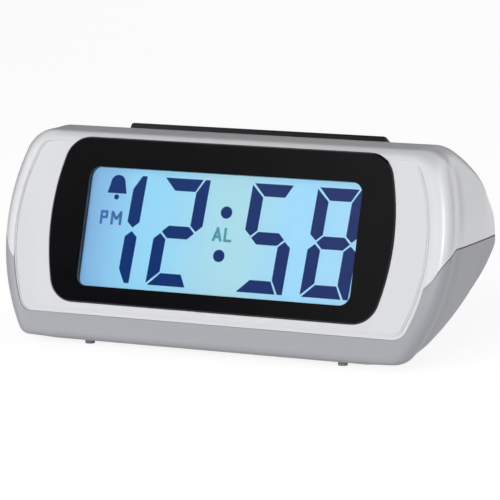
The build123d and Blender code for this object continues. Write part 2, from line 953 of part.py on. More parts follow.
def make_board():
    board = slab(window_box(holder_grow), reflector_rear, board_rear)
    for across, rise in board_screw_places:
        board -= peg(across, rise, reflector_rear - 1, board_rear + 1, small_screw_radius + part_fit)
    return board


def small_screw(across, rise, face, inward):
    """Screw with its head on a face at this depth; inward is 1 for a shank that runs to the rear."""
    head_end = face - inward * small_screw_head_height
    tip = face + inward * small_screw_reach
    head = peg(across, rise, min(face, head_end), max(face, head_end), small_screw_head)
    return head + peg(across, rise, min(face, tip), max(face, tip), small_screw_radius)


def make_key(across):
    cap = peg(across, key_rise, key_flange_rear - overlap, case_depth + key_proud, key_radius)
    cap = fillet(cap.edges().sort_by(Axis.Y)[-1], key_edge)
    flange = peg(across, key_rise, key_flange_front, key_flange_rear, key_radius + key_flange)
    return cap + flange + peg(across, key_rise, key_stem_end, key_flange_front + overlap, key_stem_radius)


def make_key_switch(across):
    half = switch_size / 2
    body = slab(
        tile(across - half, across + half, key_rise - half, key_rise + half), key_board_rear, switch_face
    )
    bore_front = switch_face - plunger_hidden - key_travel - plunger_spare
    return body - peg(across, key_rise, bore_front, switch_face + 1, plunger_radius + plunger_fit)


def make_key_plunger(across):
    return peg(across, key_rise, switch_face - plunger_hidden, key_stem_end, plunger_radius)


def make_key_board():
    low = key_rise - key_board_half_height
    high = key_rise + key_board_half_height
    board = slab(tile(key_board_left, key_board_right, low, high), key_board_depth, key_board_rear)
    for across in key_post_places:
        board -= peg(across, key_rise, key_board_depth - 1, key_board_rear + 1, small_screw_radius + part_fit)
    return board


slide_face = key_board_rear + slide_body_height
slide_channel = key_board_rear + slide_floor


def make_slide_housing():
    half = slide_body_length / 2
    lift = slide_body_width / 2
    body = slab(
        tile(slide_place - half, slide_place + half, key_rise - lift, key_rise + lift),
        key_board_rear,
        slide_face,
    )
    run = (slide_tongue_length + slide_travel) / 2 + slide_fit
    width = slide_knob_width / 2 + slide_tongue_play
    channel = tile(slide_place - run, slide_place + run, key_rise - width, key_rise + width)
    return body - slab(channel, slide_channel, slide_face + 1)


def make_slide_knob():
    middle = slide_place - slide_travel / 2
    width = slide_knob_width / 2
    half = slide_tongue_length / 2
    tongue = tile(middle - half, middle + half, key_rise - width, key_rise + width)
    half = slide_knob_length / 2
    stem = tile(middle - half, middle + half, key_rise - width, key_rise + width)
    knob = slab(tongue, slide_channel + slide_tongue_play, slide_face)
    knob += slab(stem, slide_face - overlap, case_depth + slide_proud)
    for share in (-1, 0, 1):
        groove = middle + share * half * grip_groove_reach
        knob -= slab(
            tile(groove - grip_groove_half, groove + grip_groove_half, key_rise - width, key_rise + width),
            case_depth + slide_proud - grip_groove_depth,
            case_depth + slide_proud + 1,
        )
    return knob


def make_snooze_bar():
    bar = on_bar(bar_outline(0), -bar_depth, bar_proud)
    bar = fillet(bar.faces().sort_by(Axis.Z)[-1].edges(), bar_edge)
    bar += on_bar(bar_outline(bar_flange), -bar_depth, -bar_depth + bar_flange_thickness)
    stem = Rectangle(2 * bar_stem_half, 2 * bar_stem_half)
    return bar + on_bar(stem, -bar_stem_drop, -bar_depth + overlap)


snooze_switch_face = -snooze_board_drop + switch_height


def make_snooze_board():
    sheet = tile(
        -snooze_board_half_length, snooze_board_half_length, snooze_board_front, snooze_board_rear
    )
    for place in snooze_posts:
        sheet -= Pos(*place) * Circle(small_screw_radius + part_fit)
    return on_bar(sheet, -snooze_board_drop - board_thickness, -snooze_board_drop)


def make_snooze_switch():
    body = on_bar(Rectangle(switch_size, switch_size), -snooze_board_drop, snooze_switch_face)
    bore_low = snooze_switch_face - plunger_hidden - bar_travel - plunger_spare
    return body - on_bar(Circle(plunger_radius + plunger_fit), bore_low, snooze_switch_face + 1)


def make_snooze_plunger():
    return on_bar(Circle(plunger_radius), snooze_switch_face - plunger_hidden, -bar_stem_drop)


def make_snooze_screws():
    screws = []
    face = -snooze_board_drop - board_thickness
    for x, y in snooze_posts:
        head = on_bar(Pos(x, y) * Circle(small_screw_head), face - small_screw_head_height, face)
        screws.append(head + on_bar(Pos(x, y) * Circle(small_screw_radius), face, face + small_screw_length))
    return group(screws)


buzzer_front = rear_inside - buzzer_height


def make_buzzer_housing():
    cup = peg(buzzer_place, buzzer_rise, buzzer_front, rear_inside, buzzer_radius)
    inside = buzzer_radius - buzzer_wall
    ledge_rear = buzzer_front + buzzer_wall + buzzer_ledge
    cup -= peg(buzzer_place, buzzer_rise, ledge_rear, rear_inside + 1, inside)
    return cup - peg(buzzer_place, buzzer_rise, buzzer_front + buzzer_wall, ledge_rear + overlap, inside - buzzer_wall)


def make_buzzer_disc():
    ledge_rear = buzzer_front + buzzer_wall + buzzer_ledge
    inside = buzzer_radius - buzzer_wall - part_fit
    return peg(buzzer_place, buzzer_rise, ledge_rear, ledge_rear + buzzer_disc_thickness, inside)


def make_cell(back, side):
    """Round cell along X; side is 1 where its nub points to +X."""
    nub_end = side * (bay_half_length - contact_thickness)
    shoulder = nub_end - side * cell_nub_length
    foot = shoulder - side * cell_body_length

    def rod(a, b, radius):
        bar = Rot(0, 90, 0) * Cylinder(radius, abs(b - a))
        return Pos((a + b) / 2, back, cell_height) * bar

    body = rod(foot, shoulder, cell_radius)
    body = fillet(body.edges().filter_by(GeomType.CIRCLE), cell_edge)
    return body + rod(shoulder - side * overlap, nub_end, cell_nub_radius)


def make_contact_plates():
    plates = []
    half = contact_width / 2
    for back in cell_backs:
        for side in (-1, 1):
            inner = side * (bay_half_length - contact_thickness)
            outer = side * bay_half_length
            plates.append(
                block(
                    min(inner, outer),
                    max(inner, outer),
                    back - half,
                    back + half,
                    cell_height - half,
                    cell_height + half,
                )
            )
    return group(plates)


def make_contact_springs():
    springs = []
    for back, side in zip(cell_backs, (-1, 1)):
        length = spring_length - spring_wire - 2 * part_fit
        coil = Helix(length / spring_turns, length, spring_radius)
        ring = Plane(origin=coil @ 0, z_dir=coil % 0) * Circle(spring_wire / 2)
        wire = sweep(ring, path=coil)
        start = bay_half_length - contact_thickness - spring_wire / 2 - part_fit
        turned = Pos(side * start, back, cell_height) * Rot(0, -side * 90, 0)
        springs.append(turned * wire)
    return group(springs)


def make_door():
    half = bay_half_length - door_gap
    door = block(-half, half, door_hinge_back, door_rear, foot_height, door_top)
    edge = Rot(0, 90, 0) * Cylinder(door_thickness / 2, 2 * half)
    door += Pos(0, door_hinge_back, door_hinge_height) * edge
    for side in (-1, 1):
        place = side * door_tab_place
        low = place - door_tab_width / 2
        high = place + door_tab_width / 2
        door += block(low, high, tab_front, door_front + door_gap + door_neck, tab_low, tab_high)
        door += block(low, high, door_front + door_gap, door_front + door_gap + door_neck, door_top, tab_high)
    latch = door_latch_width / 2
    door += block(-latch, latch, door_rear - door_latch_thickness, door_rear, door_top, door_top + door_latch_height)
    return door


def make_feet(across, back):
    top = foot_height + foot_recess
    return group([upright(side * across, back, 0, top, foot_radius) for side in (-1, 1)])


def make_case_screws():
    screws = []
    for across, rise in rear_screws:
        head = peg(across, rise, rear_screw_seat, rear_screw_seat + screw_head_height, screw_head_radius)
        shank = peg(across, rise, rear_screw_seat - rear_screw_length, rear_screw_seat, screw_radius)
        reach = screw_head_radius * recess_reach
        slot = tile(across - reach, across + reach, rise - recess_half, rise + recess_half)
        cross = tile(across - recess_half, across + recess_half, rise - reach, rise + reach)
        top = rear_screw_seat + screw_head_height
        recess = slab(slot + cross, top - recess_depth, top + 1)
        screws.append(head + shank - recess)
    for x, y in base_screws:
        head = upright(x, y, base_screw_seat - screw_head_height, base_screw_seat, screw_head_radius)
        screws.append(head + upright(x, y, base_screw_seat, base_screw_seat + base_screw_length, screw_radius))
    return group(screws)


def make_wire(points, bend, radius):
    path = FilletPolyline(*points, radius=bend)
    ring = Plane(origin=path @ 0, z_dir=path % 0) * Circle(radius)
    return sweep(ring, path=path)


def in_front(across, rise, depth):
    return (across, back_of(rise, depth), height_of(rise, depth))


def make_battery_wires():
    wires = []
    for x, y in wire_holes:
        start = cell_height + contact_width / 2
        rise = rise_of(start + battery_wire_climb, board_rear)
        end = in_front(x, rise, board_rear)
        reach = (y - end[1]) / lean_cos
        corner = in_front(x, rise, board_rear + reach)
        wires.append(make_wire([(x, y, start), corner, end], wire_bend, wire_radius))
    return group(wires)


def make_ribbon():
    middle_front = board_rear + socket_height + ribbon_straight
    middle_rear = key_board_depth - socket_height - ribbon_straight
    path = FilletPolyline(
        in_front(ribbon_across, ribbon_start_rise, board_rear + socket_height),
        in_front(ribbon_across, ribbon_start_rise, middle_front),
        in_front(ribbon_across, ribbon_end_rise, middle_rear),
        in_front(ribbon_across, ribbon_end_rise, key_board_depth - socket_height),
        radius=wire_bend,
    )
    start = Plane(origin=path @ 0, x_dir=(1, 0, 0), z_dir=path % 0)
    return sweep(start * Rectangle(ribbon_width, ribbon_thickness), path=path)


def make_sockets():
    half = socket_length / 2
    lift = socket_width / 2
    sockets = []
    for rise, front in ((ribbon_start_rise, board_rear), (ribbon_end_rise, key_board_depth - socket_height)):
        face = tile(ribbon_across - half, ribbon_across + half, rise - lift, rise + lift)
        sockets.append(slab(face, front, front + socket_height))
    return group(sockets)


def make_snooze_wires():
    wires = []
    drop = bar_plane.z_dir
    for side in (-0.5, 0.5):
        x = snooze_wire_across + side * wire_spacing
        start = bar_plane.from_local_coords((x, 0, -snooze_board_drop - board_thickness))
        rise = snooze_wire_rise
        end = in_front(x, rise, board_rear)
        across = lean_cos * drop.Z + lean_sin * drop.Y
        run_back = ((start.Y - end[1]) * drop.Z - (start.Z - end[2]) * drop.Y) / across
        corner = in_front(x, rise, board_rear + run_back)
        wires.append(make_wire([(start.X, start.Y, start.Z), corner, end], wire_bend, wire_radius))
    return group(wires)


def make_buzzer_wires():
    wires = []
    turn_depth = key_board_depth - buzzer_wire_drop
    end = key_board_right - buzzer_wire_inset
    for side in (-0.5, 0.5):
        rise = buzzer_rise + side * wire_spacing
        points = [
            in_front(buzzer_place, rise, buzzer_front),
            in_front(buzzer_place, rise, turn_depth),
            in_front(end, rise, turn_depth),
            in_front(end, rise, key_board_depth),
        ]
        wires.append(make_wire(points, buzzer_wire_bend, wire_radius))
    return group(wires)


def make_chip():
    dome = peg(*chip_place, board_rear, board_rear + chip_height, chip_radius)
    return fillet(dome.edges().sort_by(Axis.Y)[-1], chip_height * chip_rounding)


def make_crystal():
    x, rise = crystal_place
    depth = board_rear + crystal_radius + crystal_lift
    can = Rot(0, 90, 0) * Cylinder(crystal_radius, crystal_length)
    return Pos(*in_front(x, rise, depth)) * can


def make_resistors():
    parts = []
    for n in range(resistor_count):
        x = resistor_first + n * resistor_pitch
        face = tile(x, x + resistor_size, resistor_rise, resistor_rise + resistor_size / 2)
        parts.append(slab(face, board_rear, board_rear + resistor_thickness))
    return group(parts)


def make_leds(side):
    rise = (guide_low + window_high + glass_margin) / 2
    edge = window_half_width + glass_margin
    inner = edge - led_thickness
    left, right = sorted((side * inner, side * edge))
    face = tile(left, right, rise - led_length / 2, rise + led_length / 2)
    return slab(face, guide_rear - led_width, guide_rear)


os.makedirs("parts", exist_ok=True)

stack_half = window_half_width + glass_margin
sheet_half = stack_half - sheet_margin
guide_half = stack_half - led_thickness - part_fit
lens_face = window_outline(lens_margin)
gasket_outer = window_outline(lens_margin - part_fit)
gasket_inner = window_outline(lens_margin - part_fit - gasket_width)

save(make_top_shell(), "top_shell")
save(make_bottom_shell(), "bottom_shell")
save(make_bezel(), "bezel_frame")
save(slab(lens_face, lens_front, gasket_front), "display_lens")
save(slab(gasket_outer - gasket_inner, gasket_front, stack_front), "lens_gasket")
save(make_segments(), "lcd_segments")
save(stack_sheet(stack_front, glass_front, stack_low + connector_height, sheet_half), "lcd_front_polariser")
save(stack_sheet(glass_front, glass_rear, stack_low, stack_half), "lcd_glass")
save(stack_sheet(glass_rear, rear_polariser_rear, guide_low, sheet_half), "lcd_rear_polariser")
save(stack_sheet(rear_polariser_rear, diffuser_rear, guide_low, sheet_half), "light_diffuser")
save(stack_sheet(diffuser_rear, guide_rear, guide_low, guide_half), "light_guide")
save(stack_sheet(guide_rear, reflector_rear, guide_low, sheet_half), "reflector_sheet")
save(make_leds(-1), "backlight_led_left")
save(make_leds(1), "backlight_led_right")
connector_low = stack_low + connector_spare
connector_half = stack_half - connector_inset
connector = tile(-connector_half, connector_half, connector_low, connector_low + connector_height)
save(slab(connector, glass_rear, reflector_rear), "lcd_connector_strip")
save(make_holder(), "display_holder")
save(make_board(), "main_board")
save(group([small_screw(x, r, board_rear, -1) for x, r in board_screw_places]), "board_screws")
save(make_chip(), "clock_chip")
save(make_crystal(), "timing_crystal")
capacitor = peg(*capacitor_place, board_rear, board_rear + capacitor_length, capacitor_radius)
save(capacitor, "smoothing_capacitor")
save(make_resistors(), "board_resistors")

for key_name, key_place in zip(key_names, key_places):
    save(make_key(key_place), key_name + "_button")
    save(make_key_switch(key_place), key_name + "_switch")
    save(make_key_plunger(key_place), key_name + "_plunger")
save(make_key_board(), "key_board")
save(group([small_screw(x, key_rise, key_board_depth, 1) for x in key_post_places]), "key_board_screws")
save(make_slide_housing(), "alarm_switch_housing")
save(make_slide_knob(), "alarm_switch_knob")
save(make_buzzer_housing(), "buzzer_housing")
save(make_buzzer_disc(), "buzzer_disc")

save(make_snooze_bar(), "snooze_bar")
save(make_snooze_board(), "snooze_board")
save(make_snooze_switch(), "snooze_switch")
save(make_snooze_plunger(), "snooze_plunger")
save(make_snooze_screws(), "snooze_board_screws")

for cell_name, cell_back, cell_side in zip(("front", "rear"), cell_backs, (1, -1)):
    save(make_cell(cell_back, cell_side), cell_name + "_battery")
save(make_contact_plates(), "contact_plates")
save(make_contact_springs(), "contact_springs")
save(make_door(), "battery_door")

save(make_feet(foot_across_front, foot_back_front), "front_feet")
save(make_feet(foot_across_rear, foot_back_rear), "rear_feet")
save(make_case_screws(), "case_screws")
save(make_battery_wires(), "battery_wires")
save(make_ribbon(), "ribbon_cable")
save(make_sockets(), "ribbon_sockets")
save(make_snooze_wires(), "snooze_wires")
save(make_buzzer_wires(), "buzzer_wires")
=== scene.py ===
import json
import math
import bmesh
import bpy
from mathutils import Matrix, Vector


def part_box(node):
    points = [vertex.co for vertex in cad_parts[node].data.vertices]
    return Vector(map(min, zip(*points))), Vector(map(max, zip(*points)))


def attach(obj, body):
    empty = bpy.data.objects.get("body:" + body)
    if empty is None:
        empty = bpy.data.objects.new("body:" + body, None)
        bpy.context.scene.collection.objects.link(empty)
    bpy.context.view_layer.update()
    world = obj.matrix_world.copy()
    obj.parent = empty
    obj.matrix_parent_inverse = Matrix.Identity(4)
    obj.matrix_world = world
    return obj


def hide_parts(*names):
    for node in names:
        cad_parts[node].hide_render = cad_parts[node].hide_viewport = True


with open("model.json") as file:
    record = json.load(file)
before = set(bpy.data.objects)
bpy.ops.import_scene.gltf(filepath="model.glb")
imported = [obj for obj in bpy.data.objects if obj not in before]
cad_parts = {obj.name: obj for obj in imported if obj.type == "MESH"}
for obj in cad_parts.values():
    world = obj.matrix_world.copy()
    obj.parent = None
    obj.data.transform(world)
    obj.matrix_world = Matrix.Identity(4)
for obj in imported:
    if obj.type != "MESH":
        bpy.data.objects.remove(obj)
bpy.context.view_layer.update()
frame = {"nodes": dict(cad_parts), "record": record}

bl_info = {
    "name": "Digital alarm clock",
    "version": (1, 0, 0),
    "blender": (4, 5, 0),
    "location": "View3D > Sidebar > Alarm clock",
    "description": "Dresses the packed frame of a bedside alarm clock",
    "category": "Object",
}

NODES = frame["nodes"]
FOOT_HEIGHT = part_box("battery_door")[0].z

# The front leans back from a line on the table, which lies this far before the middle of the front feet
LEAN = math.radians(16.7)
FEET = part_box("front_feet")
FEET_SET_BACK = 0.0085
FRONT_BACK = (FEET[0].y + FEET[1].y) / 2 - FEET_SET_BACK

# Camera of the photograph: a long lens, from the right of the front and a little above
VIEW_AZIMUTH = math.radians(25.0)
VIEW_ELEVATION = math.radians(8.95)
VIEW_DISTANCE = 0.960
VIEW_LENS = 226.8
VIEW_TARGET = Vector((0.0105, FRONT_BACK + 0.012, 0.0324))
SENSOR_WIDTH = 36.0
CLIP_START = 0.05
CLIP_END = 20.0

# Points nearer than MERGE_REACH are one, and an edge flatter than SMOOTH_ANGLE is shaded smooth
MERGE_REACH = 1e-6
SMOOTH_ANGLE = math.radians(30)


class ClockColours(bpy.types.PropertyGroup):
    """Colours of the clock, as hex, and how brightly the display glows."""

    lacquer: bpy.props.StringProperty(name="Upper case", description="Silver lacquer", default="DCDDE0")
    lower: bpy.props.StringProperty(name="Lower case", description="Silver grey plastic", default="A6A7AC")
    bezel: bpy.props.StringProperty(name="Bezel", description="Polished black", default="060609")
    bar: bpy.props.StringProperty(name="Snooze bar", description="Satin black", default="0B0B0D")
    light_left: bpy.props.StringProperty(
        name="Light at left", description="Backlight by its left lamp", default="82B8E4"
    )
    light_before: bpy.props.StringProperty(
        name="Light before the middle", description="Backlight between the left lamp and the middle",
        default="96DBF8",
    )
    light_mid: bpy.props.StringProperty(
        name="Light in middle", description="Backlight far from its lamps", default="ACDFEA"
    )
    light_past: bpy.props.StringProperty(
        name="Light past the middle", description="Backlight between the middle and the right lamp",
        default="9FDDFB",
    )
    light_right: bpy.props.StringProperty(
        name="Light at right", description="Backlight by its right lamp", default="A8DCF8"
    )
    ink_left: bpy.props.StringProperty(name="Figures at left", description="Dark blue", default="003880")
    ink_right: bpy.props.StringProperty(
        name="Figures at right", description="Dark violet blue", default="0E2C72"
    )
    mark_blue: bpy.props.StringProperty(name="Left marks", description="Middle blue", default="1F5590")
    mark_teal: bpy.props.StringProperty(name="Alarm mark", description="Teal", default="3A818F")
    glow: bpy.props.FloatProperty(
        name="Glow", description="Strength of the display's light", default=0.8, min=0.0, max=2.0
    )


class ClockSizes(bpy.types.PropertyGroup):
    """Sizes of the clock's grain and small parts, in metres."""

    flake: bpy.props.FloatProperty(
        name="Flake", description="Size of the lacquer's flakes, drawn coarse enough to show",
        default=0.00035, unit="LENGTH",
    )
    grain: bpy.props.FloatProperty(
        name="Grain", description="Size of the moulded plastic's spark texture",
        default=0.0004, unit="LENGTH",
    )
    screw_head: bpy.props.FloatProperty(
        name="Screw head", description="Radius of a case screw's head", default=0.0026, unit="LENGTH"
    )
    recess_width: bpy.props.FloatProperty(
        name="Recess width", description="Width of a screw's cross recess", default=0.0007, unit="LENGTH"
    )
    rib_pitch: bpy.props.FloatProperty(
        name="Rib pitch", description="Distance between grip ribs on the battery door",
        default=0.0016, unit="LENGTH",
    )
    rib_count: bpy.props.IntProperty(
        name="Ribs", description="Grip ribs on the battery door", default=6, min=1
    )


def hex_rgb(text):
    """Linear colour from an sRGB hex value."""
    parts = [int(text[n : n + 2], 16) / 255 for n in (0, 2, 4)]
    linear = [c / 12.92 if c <= 0.04045 else ((c + 0.055) / 1.055) ** 2.4 for c in parts]
    return (*linear, 1.0)


def add_node(tree, kind, links=(), outputs=(), **settings):
    """Node with settings, and links from other sockets into its named or numbered inputs."""
    node = tree.nodes.new(kind)
    for name, value in settings.items():
        if name.startswith("in_"):
            socket = name[3:]
            key = int(socket) if socket.isdigit() else socket.replace("_", " ")
            node.inputs[key].default_value = value
        else:
            setattr(node, name, value)
    for source, target in links:
        tree.links.new(source, node.inputs[target])
    for output, target in outputs:
        tree.links.new(node.outputs[output], target)
    return node


def new_material(name):
    """Empty material with a principled shader; returns material, tree and shader."""
    material = bpy.data.materials.new(name)
    material.use_nodes = True
    tree = material.node_tree
    shader = tree.nodes["Principled BSDF"]
    return material, tree, shader


def set_shader(shader, **values):
    """Constants on the shader's own sockets, by name."""
    for name, value in values.items():
        shader.inputs[name.replace("_", " ")].default_value = value


def noise_at(tree, size, detail=3.0, roughness=0.6, stretch=None):
    """Noise on the piece's own coordinates, its grains about this size in metres."""
    place = add_node(tree, "ShaderNodeTexCoord")
    vector = place.outputs["Object"]
    if stretch:
        mapping = add_node(tree, "ShaderNodeMapping", [(vector, "Vector")], in_Scale=stretch)
        vector = mapping.outputs["Vector"]
    noise = add_node(
        tree, "ShaderNodeTexNoise", [(vector, "Vector")],
        in_Scale=1.0 / size, in_Detail=detail, in_Roughness=roughness,
    )
    return noise.outputs["Fac"]


def two_tone(tree, factor, colour, change, shader):
    """Base colour that varies a little either side of one colour."""
    base = hex_rgb(colour)[:3]
    ramp = add_node(
        tree, "ShaderNodeValToRGB", [(factor, "Fac")], [("Color", shader.inputs["Base Color"])]
    )
    low, high = ramp.color_ramp.elements
    low.position = 0.3
    low.color = (*[c * (1 - change) for c in base], 1)
    high.position = 0.7
    high.color = (*[min(c * (1 + change), 1) for c in base], 1)
    return ramp


def grained(name, colour, size, change, bump, roughness, spread=0.05, stretch=None, detail=3.0, **values):
    """Finish with a fine grain in its colour, roughness and surface."""
    material, tree, shader = new_material(name)
    grain = noise_at(tree, size, detail, stretch=stretch)
    two_tone(tree, grain, colour, change, shader)
    add_node(
        tree, "ShaderNodeMapRange", [(grain, "Value")], [("Result", shader.inputs["Roughness"])],
        in_3=max(roughness - spread, 0.02), in_4=roughness + spread,
    )
    add_node(
        tree, "ShaderNodeBump", [(grain, "Height")], [("Normal", shader.inputs["Normal"])],
        in_Strength=bump, in_Distance=size * 0.3,
    )
    set_shader(shader, **values)
    return material


def link(piece):
    """The piece, put into the scene."""
    bpy.context.scene.collection.objects.link(piece)
    return piece


def smooth_copy(node, name):
    """Merged, smoothly shaded copy of a CAD node, as a new object that is not linked to a body yet."""
    mesh = bpy.data.meshes.new(name)
    work = bmesh.new()
    work.from_mesh(NODES[node].data)
    bmesh.ops.remove_doubles(work, verts=work.verts, dist=MERGE_REACH)
    for edge in work.edges:
        edge.smooth = len(edge.link_faces) == 2 and edge.calc_face_angle(0) < SMOOTH_ANGLE
    for face in work.faces:
        face.smooth = True
    work.to_mesh(mesh)
    work.free()
    return link(bpy.data.objects.new(name, mesh))


def dress(piece, material):
    """The piece with this as its only material."""
    piece.data.materials.clear()
    piece.data.materials.append(material)
    return piece


def body_of_node(node):
    """Name of the CAD body that a node rides on."""
    for body, members in frame["record"]["behaviour"]["bodies"].items():
        if node in members:
            return body
    raise RuntimeError("no body holds " + node)


def stand_in(node, name, material):
    """Smooth copy that stands in for its CAD node, which is hidden, and rides on its body with this
    material.
    """
    piece = dress(smooth_copy(node, name), material)
    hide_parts(node)
    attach(piece, body_of_node(node))
    return piece


def repaint(node, material):
    """Better material on a CAD node that stays."""
    dress(NODES[node], material)


def silver_lacquer(name):
    """Silver lacquer sprayed on moulded ABS: a pale satin metal look with fine flakes."""
    shades = bpy.context.scene.clock_colours
    sizes = bpy.context.scene.clock_sizes
    return grained(
        name, shades.lacquer, size=sizes.flake, change=0.03, bump=0.04, roughness=0.45,
        Metallic=0.2, Coat_Weight=0.5, Coat_Roughness=0.15,
    )


def silver_grey_plastic(name):
    """Lower case, ABS with silver pigment, fine spark texture from the mould: a duller, greyer satin."""
    shades = bpy.context.scene.clock_colours
    sizes = bpy.context.scene.clock_sizes
    return grained(
        name, shades.lower, size=sizes.grain, change=0.03, bump=0.08, roughness=0.48, Metallic=0.3
    )


def polished_black(name):
    """Bezel, polished black PMMA: deep gloss with faint waviness, so that reflections stay clean."""
    shades = bpy.context.scene.clock_colours
    return grained(
        name, shades.bezel, size=0.012, change=0.1, bump=0.02, roughness=0.1, spread=0.02, detail=1.0,
        IOR=1.49, Specular_IOR_Level=0.4,
    )


def satin_black(name):
    """Snooze bar, black ABS from a finely sparked mould: satin, with a soft sheen along its edge."""
    shades = bpy.context.scene.clock_colours
    sizes = bpy.context.scene.clock_sizes
    return grained(
        name, shades.bar, size=sizes.grain, change=0.15, bump=0.1, roughness=0.38, IOR=1.53,
        Specular_IOR_Level=0.35,
    )


WINDOW_HAZE = 0.02
WINDOW_ROUGHNESS = (0.02, 0.05)


def clear_acrylic(name):
    """Window, clear cast acrylic: it shows only as gloss over the display."""
    material, tree, shader = new_material(name)
    haze = noise_at(tree, WINDOW_HAZE, detail=1.0)
    add_node(
        tree, "ShaderNodeMapRange", [(haze, "Value")], [("Result", shader.inputs["Roughness"])],
        in_3=WINDOW_ROUGHNESS[0], in_4=WINDOW_ROUGHNESS[1],
    )
    set_shader(shader, Base_Color=hex_rgb("FAFCFF"), IOR=1.49, Transmission_Weight=1.0)
    return material


# Painted shade along the window's rim, where the bezel shades the display: the glow falls to the dim share
# within the reach from the rim
RIM_SHADE_REACH = 0.0022
RIM_SHADE_DIM = 0.55
FILM_GRAIN = 0.0006
FILM_DARK = (0.02, 0.03, 0.04, 1)
FILM_DARK_SHARE = 0.75
FILM_ROUGHNESS = (0.3, 0.5)
INK_ROUGHNESS = (0.35, 0.5)
INK_GLOW = 0.8
MARK_GLOW = 0.6


def painted_rim_shade(tree, value, low, high):
    """Factor that darkens the glow near both edges of a span: painted shade along the window's rim."""
    place = add_node(
        tree, "ShaderNodeMapRange", [(value, "Value")], in_1=low, in_2=high, in_3=-1.0, in_4=1.0
    )
    away = add_node(tree, "ShaderNodeMath", [(place.outputs[0], 0)], operation="ABSOLUTE")
    fade = add_node(
        tree, "ShaderNodeMapRange", [(away.outputs[0], "Value")], interpolation_type="SMOOTHSTEP",
        in_1=1.0 - 2 * RIM_SHADE_REACH / (high - low), in_2=1.0, in_3=1.0, in_4=RIM_SHADE_DIM,
    )
    return fade.outputs[0]


def lit_film(name):
    """Front film of the display, lit from lamps at its ends: blue near them, paler and greener between, with
    painted shade along the window's rim.
    """
    shades = bpy.context.scene.clock_colours
    material, tree, shader = new_material(name)
    place = add_node(tree, "ShaderNodeTexCoord")
    split = add_node(tree, "ShaderNodeSeparateXYZ", [(place.outputs["Object"], "Vector")])
    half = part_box("lcd_front_polariser")[1].x
    across = add_node(
        tree, "ShaderNodeMapRange", [(split.outputs["X"], "Value")],
        in_1=-half, in_2=half, in_3=0.0, in_4=1.0,
    )
    ramp = add_node(tree, "ShaderNodeValToRGB", [(across.outputs["Result"], "Fac")])
    band = ramp.color_ramp
    band.interpolation = "EASE"
    stops = (
        (0.0, shades.light_left), (0.25, shades.light_before), (0.54, shades.light_mid),
        (0.77, shades.light_past), (1.0, shades.light_right),
    )
    while len(band.elements) < len(stops):
        band.elements.new(0.5)
    for element, (position, colour) in zip(band.elements, stops):
        element.position = position
        element.color = hex_rgb(colour)
    grain = noise_at(tree, FILM_GRAIN, detail=2.0)
    add_node(
        tree, "ShaderNodeMapRange", [(grain, "Value")], [("Result", shader.inputs["Roughness"])],
        in_3=FILM_ROUGHNESS[0], in_4=FILM_ROUGHNESS[1],
    )
    add_node(
        tree, "ShaderNodeMix", [(ramp.outputs["Color"], 6)], [(2, shader.inputs["Base Color"])],
        data_type="RGBA", blend_type="MIX", in_0=FILM_DARK_SHARE, in_7=FILM_DARK,
    )
    tree.links.new(ramp.outputs["Color"], shader.inputs["Emission Color"])
    # Painted shade: the glow is darkened near the window's rim
    low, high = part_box("display_lens")
    rim_shades = [
        painted_rim_shade(tree, split.outputs["X"], low.x, high.x),
        painted_rim_shade(tree, split.outputs["Z"], low.z, high.z),
    ]
    both = add_node(tree, "ShaderNodeMath", [(rim_shades[0], 0), (rim_shades[1], 1)], operation="MULTIPLY")
    add_node(
        tree, "ShaderNodeMath", [(both.outputs[0], 0)], [(0, shader.inputs["Emission Strength"])],
        operation="MULTIPLY", in_1=shades.glow,
    )
    return material


def figure_ink(name):
    """Dark blue figures of the crystal, with the light behind them showing a little through."""
    shades = bpy.context.scene.clock_colours
    material, tree, shader = new_material(name)
    place = add_node(tree, "ShaderNodeTexCoord")
    split = add_node(tree, "ShaderNodeSeparateXYZ", [(place.outputs["Object"], "Vector")])
    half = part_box("lcd_segments")[1].x
    across = add_node(
        tree, "ShaderNodeMapRange", [(split.outputs["X"], "Value")],
        in_1=-half, in_2=half, in_3=0.0, in_4=1.0,
    )
    ramp = add_node(
        tree, "ShaderNodeValToRGB", [(across.outputs["Result"], "Fac")],
        [("Color", shader.inputs["Emission Color"])],
    )
    ramp.color_ramp.elements[0].color = hex_rgb(shades.ink_left)
    ramp.color_ramp.elements[1].color = hex_rgb(shades.ink_right)
    grain = noise_at(tree, FILM_GRAIN, detail=2.0)
    add_node(
        tree, "ShaderNodeMapRange", [(grain, "Value")], [("Result", shader.inputs["Roughness"])],
        in_3=INK_ROUGHNESS[0], in_4=INK_ROUGHNESS[1],
    )
    set_shader(shader, Base_Color=hex_rgb("02040A"), Emission_Strength=INK_GLOW, Specular_IOR_Level=0.0)
    return material


def case_rubber(name):
    """Feet, moulded grey rubber: matt, slightly dusty."""
    return grained(
        name, "95969B", size=0.0005, change=0.08, bump=0.15, roughness=0.8, Specular_IOR_Level=0.3
    )


def dark_key_plastic(name):
    """Rear keys, dark grey ABS with a satin face."""
    return grained(name, "4A4B4E", size=0.0004, change=0.1, bump=0.1, roughness=0.45)


def zinc_steel(name):
    """Screws, zinc plated steel, drawn wire and cold formed head: grey, with fine turned scratches."""
    return grained(name, "B4B4B2", size=0.0004, change=0.12, bump=0.15, roughness=0.35, Metallic=1.0)


def sprung_steel(name):
    """Battery contacts, nickel plated spring steel: bright, with fine drawing lines."""
    return grained(
        name, "C9C8C4", size=0.0005, change=0.08, bump=0.08, roughness=0.22, stretch=(0.2, 1, 1),
        Metallic=1.0,
    )


def brass_sheet(name):
    """Buzzer disc, rolled brass: yellow, with lines from rolling."""
    return grained(
        name, "C9A24E", size=0.0006, change=0.1, bump=0.08, roughness=0.3, stretch=(0.15, 1, 1),
        Metallic=1.0,
    )


def pressed_sheet(name):
    """Switch shell, pressed and tinned steel sheet."""
    return grained(
        name, "B9B9BA", size=0.0006, change=0.08, bump=0.08, roughness=0.32, stretch=(1, 0.2, 1),
        Metallic=1.0,
    )


